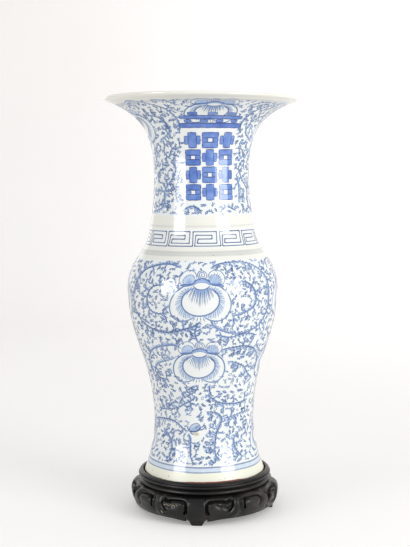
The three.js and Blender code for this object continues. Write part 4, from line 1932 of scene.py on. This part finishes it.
@dataclass(frozen=True)
class Cut:
    """One stroke of the carver's tool, or one swell that was left standing between strokes.

    Its route is in degrees from the leg and heights above the table.
    """

    route: Curve
    depth: float = 2.7
    width: float = 0.95

    def away(self, points: Array, scale: float) -> Array:
        """Distance of points, in millimetres along the band and up, from the route."""
        return polyline_distance(points, smooth(self.route, 8) * (scale, 1))


@dataclass(frozen=True)
class Opening:
    """A hole through an apron: degrees from the leg, height, and its outline about that spot."""

    degrees: float
    height: float
    outline: Curve
    inner_end: float = 66.0


@dataclass
class Carving:
    """What the carver did to an apron: cuts round its scrolls, swells between them, and openings."""

    reach: float = 87.0
    round_off: float = 1.3
    round_width: float = 2.8
    cuts: tuple[Cut, ...] = (
        Cut(((8.4, 14.5), (8.1, 22), (8.6, 27.4)), 2.2, 1.1),
        Cut(((9.4, 28.2), (11.4, 29.6), (15.0, 30.0), (19.5, 29.6), (22.6, 28.2), (25.8, 29.6),
             (28.4, 32.6)), 3.4, 1.5),
        Cut(((28.4, 32.6), (28.2, 27), (27.6, 21), (25.6, 16.6)), 3.0, 1.3),
        Cut(((16.2, 24.6), (18.4, 22.4), (20.2, 23.6)), 0.9, 0.8),
        Cut(((20.4, 23.0), (23.2, 20.9), (25.6, 22.4)), 1.3, 0.9),
        Cut(((35.2, 32.4), (34.9, 27.4), (35.4, 21.4), (34.6, 16.4)), 1.2, 1.1),
        Cut(((38.4, 28.8), (41.6, 30.8), (46.5, 31.4), (51.6, 30.4), (54.6, 27.0), (56.0, 22.0),
             (54.8, 17.6)), 3.8, 1.7),
        Cut(((60.6, 32.4), (63.8, 28.6), (66.2, 23.0), (66.0, 16.6), (64.4, 12.6)), 3.4, 1.6),
        Cut(((67.4, 26.6), (71.5, 30.4), (76.5, 31.4), (80.6, 30.0), (81.9, 26.0), (81.7, 20.0),
             (81.6, 14.4)), 3.6, 1.5),
        Cut(((72.4, 25.4), (75.8, 26.4), (78.2, 23.8), (77.0, 20.4)), 2.2, 1.1),
        Cut(((66.6, 15.6), (71.0, 12.8), (76.5, 13.2)), 1.8, 0.9),
    )
    swells: tuple[Cut, ...] = (
        Cut(((31.8, 31.0), (31.5, 26.4), (31.3, 20.0), (30.2, 15.2)), 2.0, 4.6),
        Cut(((16.0, 27.4), (17.8, 25.0)), 0.9, 1.2),
        Cut(((20.6, 26.0), (23.8, 24.0)), 1.5, 1.5),
        Cut(((42.4, 24.0), (49.4, 23.4)), 1.3, 5.0),
        Cut(((70.6, 22.4), (73.4, 22.6)), 0.9, 3.0),
    )
    openings: tuple[Opening, ...] = (
        Opening(9.3, 15.3, ((-1.0, -1.9), (0.9, -1.7), (1.3, 0.3), (0.5, 2.0), (-0.9, 1.6)), 79.5),
        Opening(38.2, 22.0, (
            (-0.6, -4.6), (1.5, -3.6), (1.2, -0.6), (0.7, 1.6), (1.4, 3.9), (-0.6, 4.6), (-1.5, 2.2),
            (-0.7, -0.6), (-1.4, -2.6),
        )),
        Opening(67.6, 25.4, (
            (-0.4, -6.8), (1.3, -4.2), (1.6, -0.8), (3.3, 1.8), (5.6, 3.4), (5.2, 5.2), (2.0, 4.6),
            (0.2, 2.8), (-1.9, 5.2), (-3.0, 4.2), (-1.5, 1.0), (-1.0, -2.6),
        )),
        Opening(80.6, 15.2, ((-1.0, -1.9), (0.9, -1.7), (1.2, 0.3), (0.4, 1.9), (-0.9, 1.5)), 79.5),
    )

    def depth(self, degrees: Array, height: Array) -> Array:
        """How deep the surface lies under the uncarved band.

        Args:
            degrees: Degrees from the leg at each point.
            height: Height above the table at each point.

        Returns:
            Depths in millimetres.
        """
        scale = math.radians(1) * self.reach
        points = np.column_stack([degrees * scale, height])
        cut = np.zeros(len(points))
        rounding = np.zeros(len(points))
        for stroke in self.cuts:
            away = stroke.away(points, scale)
            cut = np.maximum(cut, stroke.depth * np.exp(-((away / stroke.width) ** 2)))
            rounding = np.maximum(rounding, np.exp(-((away / self.round_width) ** 2)))
        for swell in self.swells:
            away = swell.away(points, scale)
            cut = cut - swell.depth * np.exp(-((away / swell.width) ** 2))
        return cut + self.round_off * rounding


@dataclass
class Stand:
    """The stand: turned rings, carved aprons, legs and pads."""

    turn: float = -6.4
    legs: int = 4
    inside: float = 62.0
    recess: float = 74.0
    rabbet: float = 5.0
    skirt: float = 70.6
    waist: float = 77.4
    bead: tuple[float, float] = (77.0, 2.45)
    leg_proud: float = 0.9
    pad_middle: float = 79.0
    pad_deep: float = 8.0
    pad_half: float = 6.25
    pad_flare: float = 3.0
    pad_round: float = 0.9
    band: CarvedBand = field(default_factory=CarvedBand)
    carving: Carving = field(default_factory=Carving)

    def __post_init__(self) -> None:
        """Takes the main heights from the frame, and makes the two woods."""
        self.waist_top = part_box("top_ring")[0].z / MM
        self.lip_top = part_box("top_ring")[1].z / MM
        self.band_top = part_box("apron_1")[1].z / MM
        self.pad_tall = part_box("foot_pad_1")[1].z / MM
        self.wood = Blackwood().material()
        self.raw = RawWood().material()

    def build(self) -> list[Piece]:
        """Makes every visible piece of the stand, all riding on it.

        Returns:
            The pieces made.
        """
        pieces = [self._top_ring(), self._waist_ring()]
        for index in range(self.legs):
            pieces += [self._leg(index), self._apron(index), self._pad(index)]
        for piece in pieces:
            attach(piece, "stand")
        chips = self._chips()
        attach(chips, "stand")
        pieces.append(chips)
        for node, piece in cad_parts.items():
            if node == "seat_board" or "peg" in node:
                piece.data.materials.clear()
                piece.data.materials.append(self.raw)
        return pieces

    def _turned(self, name: str, outline: Array) -> Piece:
        """Makes a turned ring that replaces the node of the same name.

        Args:
            name: The node's name.
            outline: Radius and height round its section.

        Returns:
            The ring.
        """
        points, faces, uv = revolve(outline, ROUND_STEPS)
        piece = make_piece(f"{name}_turned", points, faces, self.wood, uv)
        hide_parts(name)
        return piece

    def _top_ring(self) -> Piece:
        """Makes the moulded lip round the recess.

        Returns:
            The ring.
        """
        low, high, recess = self.waist_top, self.lip_top, self.recess
        edge = smooth([
            (77.6, low), (79.3, low + 1.1), (80.0, low + 2.9), (79.5, low + 4.1), (78.0, low + 4.5),
            (78.9, low + 5.2), (77.9, low + 6.6), (75.8, high - 0.2),
        ], 7)
        inner = [(recess + 0.6, high - 0.25), (recess, high - 1), (recess, low)]
        return self._turned("top_ring", np.vstack([edge, inner]))

    def _waist_ring(self) -> Piece:
        """Makes the beaded waist with the rabbet that holds the board.

        Returns:
            The ring.
        """
        low, high, bottom = self.band_top, self.waist_top, self.band.skirt_bottom
        centre, radius = self.bead
        bead = arc((centre, (low + high) / 2), radius, -62, 62, 14)
        outline = np.vstack([
            [(self.inside, bottom), (self.skirt, bottom), (self.skirt, low), (self.waist, low)], bead,
            [(self.waist, high), (self.recess, high), (self.recess, high - self.rabbet)],
            [(self.inside, high - self.rabbet)],
        ])
        return self._turned("waist_ring", outline)

    def _swept(self, node: str, section: Array, outer_count: int, degrees: Array, depth: Array) -> Piece:
        """Makes a closed solid by sweeping a section round part of the stand.

        Args:
            node: The node that it replaces.
            section: Radius and height round the section, the outer stretch first.
            outer_count: How many of its points are on the outer stretch.
            degrees: Angle of every section point at every step, as steps by points.
            depth: Carved depth of the outer points, as steps by outer points.

        Returns:
            The piece.
        """
        steps, count = degrees.shape
        outer = section[:outer_count]
        run = np.gradient(outer, axis=0)
        run /= np.linalg.norm(run, axis=1, keepdims=True)
        inward = np.column_stack([-run[:, 1], run[:, 0]])
        radius = np.tile(section[:, 0], (steps, 1))
        height = np.tile(section[:, 1], (steps, 1))
        radius[:, :outer_count] += inward[:, 0] * depth
        height[:, :outer_count] += inward[:, 1] * depth
        angles = np.radians(degrees + self.turn)
        points = np.stack([radius * np.sin(angles), -radius * np.cos(angles), height], axis=-1)
        faces = tube_faces(steps, count, False)
        piece = make_piece(f"{node}_carved", points.reshape(-1, 3), faces, self.wood)
        piece.data.set_sharp_from_angle(angle=SHARP_CARVING)
        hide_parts(node)
        return piece

    def _apron(self, index: int) -> Piece:
        """Makes one carved apron between two legs.

        Args:
            index: Its number from 0.

        Returns:
            The apron.
        """
        band = self.band
        outer = band.outer(0.0, band.bottom)
        section = np.vstack([outer, band.inner(band.bottom)])
        start = np.degrees((band.leg_reach(section[:, 1]) + band.gap) / section[:, 0])
        steps = 260
        share = np.linspace(0, 1, steps)[:, None]
        local = start[None] * (1 - share) + (90 - start[None]) * share
        side = Side.FORWARD if index % 2 == 0 else Side.BACKWARD
        count = len(outer)
        carved = local[:, :count] if side is Side.FORWARD else 90 - local[:, :count]
        heights = np.tile(outer[:, 1], (steps, 1))
        depth = self.carving.depth(carved.ravel(), heights.ravel()).reshape(steps, count)
        fade = np.clip((band.top - heights) / 2.5, 0, 1) * np.clip((heights - band.bottom) / 2.5, 0, 1)
        degrees = local + 360 / self.legs * index
        piece = self._swept(f"apron_{index + 1}", section, count, degrees, depth * fade)
        self._dip(piece, index)
        self._pierce(piece, index, side)
        return piece

    def _dip(self, piece: Piece, index: int) -> None:
        """Lets an apron's lower edge run down towards the legs.

        Args:
            piece: The apron.
            index: Its number from 0.
        """
        corners = np.empty(len(piece.data.vertices) * 3)
        piece.data.vertices.foreach_get("co", corners)
        x, y, z = (corners.reshape(-1, 3) / MM).T
        local = (np.degrees(np.arctan2(x, -y)) - self.turn - 360 / self.legs * index) % 360
        near = np.minimum(local, 90 - local)
        drop = self.band.dip * np.exp(-((np.maximum(near - 8, 0) / 8.5) ** 2))
        z = z - drop * np.clip((16 - z) / (16 - self.band.bottom), 0, 1)
        piece.data.vertices.foreach_set("co", (np.column_stack([x, y, z]) * MM).ravel())
        piece.data.update()

    def _pierce(self, piece: Piece, index: int, side: Side) -> None:
        """Cuts the carver's openings through an apron.

        Args:
            piece: The apron.
            index: Its number from 0.
            side: Which way its carving runs.
        """
        corners: list[Array] = []
        faces: list[list[int]] = []
        for opening in self.carving.openings:
            rim = smooth([*opening.outline, opening.outline[0]], 5)[:-1]
            local = opening.degrees if side is Side.FORWARD else 90 - opening.degrees
            turn = math.radians(self.turn + 360 / self.legs * index + local)
            way = 1 if side is Side.FORWARD else -1
            across, up = rim[:, 0] * way, rim[:, 1] + opening.height
            base, count = sum(len(part) for part in corners), len(rim)
            for reach in (opening.inner_end, 96.0):
                corners.append(np.column_stack([
                    reach * math.sin(turn) + across * math.cos(turn),
                    -reach * math.cos(turn) + across * math.sin(turn), up,
                ]))
            faces += [[base + corner for corner in face] for face in tube_faces(2, count, True)]
        mesh = bpy.data.meshes.new("apron_cutter")
        mesh.from_pydata((np.vstack(corners) * MM).tolist(), [], faces)
        shape = bmesh.new()
        shape.from_mesh(mesh)
        bmesh.ops.recalc_face_normals(shape, faces=shape.faces)
        shape.to_mesh(mesh)
        shape.free()
        cutter = bpy.data.objects.new("apron_cutter", mesh)
        bpy.context.scene.collection.objects.link(cutter)
        modifier = piece.modifiers.new("openings", "BOOLEAN")
        modifier.operation, modifier.solver, modifier.object = "DIFFERENCE", "EXACT", cutter
        evaluated = piece.evaluated_get(bpy.context.evaluated_depsgraph_get())
        cut = bpy.data.meshes.new_from_object(evaluated)
        piece.modifiers.clear()
        piece.data = cut
        cut.set_sharp_from_angle(angle=SHARP_CARVING)
        bpy.data.objects.remove(cutter)

    def _leg(self, index: int) -> Piece:
        """Makes one leg: a plain strap that widens at the ankle.

        Args:
            index: Its number from 0.

        Returns:
            The leg.
        """
        band = self.band
        outer = band.outer(self.leg_proud, self.pad_tall)
        section = np.vstack([outer, band.inner(self.pad_tall)])
        reach = np.degrees(band.leg_reach(section[:, 1]) / section[:, 0])
        steps = 41
        share = np.linspace(-1, 1, steps)[:, None]
        degrees = 360 / self.legs * index + share * reach[None]
        count = len(outer)
        edge = np.abs(share) ** 10 * 0.9
        depth = np.tile(edge, (1, count))
        return self._swept(f"leg_{index + 1}", section, count, degrees, depth)

    def _chips(self) -> Piece:
        """Makes the pale scratches where the front left apron's stain is chipped.

        Returns:
            The scratches as one piece.
        """
        outer = self.band.outer(0.0, self.band.bottom)
        strokes = (
            (14.6, 23.4, 16.6, 26.0), (16.4, 21.4, 19.2, 25.8), (18.8, 21.2, 21.4, 25.4),
            (21.2, 20.8, 23.4, 25.8), (23.4, 20.6, 25.0, 25.0), (25.2, 21.4, 27.2, 24.8),
            (25.6, 17.2, 28.2, 18.8), (27.2, 12.6, 28.4, 15.8),
        )
        points: list[Array] = []
        faces: list[list[int]] = []
        for start_at, start_up, end_at, end_up in strokes:
            line = np.linspace((start_at, start_up), (end_at, end_up), 7)
            along = np.array([(end_at - start_at) * 1.5, end_up - start_up])
            aside = np.array([-along[1] / 1.5, along[0]]) / np.linalg.norm(along)
            half = np.array([0.1, 0.34, 0.46, 0.4, 0.5, 0.3, 0.08])[:, None]
            aside = aside * (1 if aside[1] > 0 else -1)
            for level in (-1, 1):
                rim = line + level * half * aside
                heights = rim[:, 1]
                radius = np.interp(heights, outer[:, 1], outer[:, 0])
                radius = radius - self.carving.depth(rim[:, 0], heights) + 0.15
                angle = np.radians(self.turn - rim[:, 0])
                points.append(np.column_stack([radius * np.sin(angle), -radius * np.cos(angle), heights]))
            base = sum(len(part) for part in points[:-2])
            count = len(line)
            for low, high in ((base + j, base + count + j) for j in range(count - 1)):
                faces.append([low + 1, low, high, high + 1])
        return make_piece("apron_4_chips", np.vstack(points), faces, ChippedWood().material())

    def _pad(self, index: int) -> Piece:
        """Makes one pad with rounded edges under a leg.

        Args:
            index: Its number from 0.

        Returns:
            The pad.
        """
        node = f"foot_pad_{index + 1}"
        layers = []
        levels = ((0.0, -0.6, 0.0), (0.5, 0.0, 0.05), (5.5, 0.0, 0.95), (self.pad_tall, 0.0, 1.0))
        for height, grow, side in levels:
            half = self.pad_half + self.pad_flare * side + grow
            deep = self.pad_deep / 2 + grow
            corners = [(-half, -deep), (half, -deep), (half, deep), (-half, deep)]
            layers.append(self._rounded(corners, self.pad_round, height))
        points = np.vstack(layers)
        points[:, 1] -= self.pad_middle
        angle = math.radians(self.turn + 360 / self.legs * index)
        turn = np.array([[math.cos(angle), -math.sin(angle)], [math.sin(angle), math.cos(angle)]])
        points[:, :2] = points[:, :2] @ turn.T
        faces = tube_faces(len(layers), len(layers[0]), True)
        piece = make_piece(f"{node}_shaped", points, faces, self.wood)
        piece.data.set_sharp_from_angle(angle=SHARP_PAD)
        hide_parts(node)
        return piece

    @staticmethod
    def _rounded(corners: Sequence[tuple[float, float]], radius: float, height: float) -> Array:
        """A rectangle with round corners at a height, counter-clockwise.

        Args:
            corners: The rectangle's corners.
            radius: Radius at each corner.
            height: Height above the table.

        Returns:
            Its points, one row each.
        """
        rows = []
        for turn, (x, y) in zip((180, 270, 0, 90), corners):
            middle = (x - math.copysign(radius, x), y - math.copysign(radius, y))
            rows.append(arc(middle, radius, turn, turn + 90, 4))
        outline = np.vstack(rows)
        return np.column_stack([outline, np.full(len(outline), height)])


@dataclass(frozen=True)
class Softbox:
    """A soft lamp: how far it is turned from the camera's side towards the right, and metres and watts."""

    name: str
    degrees: float
    away: float
    size: tuple[float, float]
    power: float
    height: float
    gloss_only: bool = False
    aim_height: float = 0.25

    def hang(self) -> None:
        """Hangs the lamp so that it faces the object, and shows in reflections only or in none."""
        data = bpy.data.lights.new(self.name, "AREA")
        data.shape = "RECTANGLE"
        data.size, data.size_y = self.size
        data.energy = self.power
        lamp = bpy.data.objects.new(self.name, data)
        angle = math.radians(self.degrees)
        spot = Vector((self.away * math.sin(angle), -self.away * math.cos(angle), self.height))
        aim = Vector((0, 0, self.aim_height)) - spot
        lamp.matrix_world = Matrix.Translation(spot) @ aim.to_track_quat("-Z", "Y").to_matrix().to_4x4()
        lamp.visible_diffuse = not self.gloss_only
        lamp.visible_glossy = self.gloss_only
        bpy.context.scene.collection.objects.link(lamp)


@dataclass
class Studio:
    """Floor, lights and camera of the photograph."""

    camera_height: float = 0.399
    camera_away: float = 1.2816
    camera_right: float = 0.003
    pitch: float = 0.0900
    roll: float = math.radians(0.55)
    lens: float = 70.58
    sweep_back: float = 1.6
    sweep_radius: float = 0.8
    room_light: float = 0.72
    lamps: tuple[Softbox, ...] = (
        Softbox("left_strip", -51, 2.0, (0.9, 0.84), 23, 0.55, gloss_only=True),
        Softbox("right_strip", 48, 2.0, (1.05, 0.84), 25, 0.55, gloss_only=True),
        Softbox("left_rim", -150, 2.1, (0.7, 1.0), 1.3, 0.6, gloss_only=True),
        Softbox("left_fill", -60, 2.2, (1.2, 1.6), 8, 0.9),
        Softbox("right_fill", 52, 2.2, (1.2, 1.6), 24, 0.9),
    )

    def build(self) -> None:
        """Sets up the whole studio."""
        self._camera()
        self._sweep()
        self._world()
        for lamp in self.lamps:
            lamp.hang()
        bpy.context.scene.view_settings.view_transform = "Standard"

    def _camera(self) -> None:
        """Places the camera that was fitted to the photograph."""
        data = bpy.data.cameras.new("photo_camera")
        data.lens = self.lens
        camera = bpy.data.objects.new("photo_camera", data)
        spot = Matrix.Translation((self.camera_right, -self.camera_away, self.camera_height))
        down = Matrix.Rotation(math.pi / 2 - self.pitch, 4, "X")
        camera.matrix_world = spot @ down @ Matrix.Rotation(-self.roll, 4, "Z")
        bpy.context.scene.collection.objects.link(camera)
        bpy.context.scene.camera = camera

    def _sweep(self) -> None:
        """Makes the pale floor that curves up into a backdrop."""
        sheet = ShaderSheet("pale_sweep")
        place = sheet.place()
        mottle = sheet.noise(place, 3.0)
        paper = sheet.mix(mottle, linear(235, 232, 227), linear(239, 236, 232))
        seen = sheet.node("ShaderNodeLightPath", None, None, "Is Camera Ray")
        seen = seen + sheet.node("ShaderNodeLightPath", None, None, "Is Glossy Ray")
        # The glow is stronger towards the back and the right: painted light that brightens that side of the
        # floor and backdrop.
        back = sheet.axis(place, "Y").above(0.9, 0.8)
        right = sheet.axis(place, "X").above(-0.1, 0.6)
        glow = sheet.mix(seen * (0.56 + back * right * 0.44), (0, 0, 0, 1), (1, 1, 1, 1))
        sheet.finish(Base_Color=paper, Roughness=0.9, Emission_Color=glow, Emission_Strength=0.4)
        back, radius = self.sweep_back, self.sweep_radius
        curve = arc((back, radius), radius, -90, 0, 16)
        profile = np.vstack([[(-3.0, 0.0)], curve, [(back + radius, 4.0)]]) / MM
        across = np.array([-4.0, 4.0]) / MM
        points = [(x, y, z) for y, z in profile for x in across]
        faces = [[2 * i, 2 * i + 1, 2 * i + 3, 2 * i + 2] for i in range(len(profile) - 1)]
        floor = make_piece("studio_sweep", np.array(points), faces, sheet.material)
        floor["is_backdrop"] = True

    def _world(self) -> None:
        """Fills the room with even light."""
        world = bpy.data.worlds.new("studio")
        world.use_nodes = True
        background = world.node_tree.nodes["Background"]
        background.inputs["Color"].default_value = linear(250, 251, 255)
        background.inputs["Strength"].default_value = self.room_light
        bpy.context.scene.world = world


def corners() -> list[list[float]]:
    """Returns the shown object's lowest and highest corners as plain numbers."""
    return [[float(value) for value in corner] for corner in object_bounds()]


def main() -> None:
    """Builds the studio, the vase and the stand."""
    logging.basicConfig(level=logging.INFO, format="%(name)s: %(message)s")
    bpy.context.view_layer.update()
    Studio().build()
    for maker in (Vase(), Stand()):
        for piece in maker.build():
            LOG.info("made %s with %d faces", piece.name, len(piece.data.polygons))


if __name__ == "__main__":
    main()
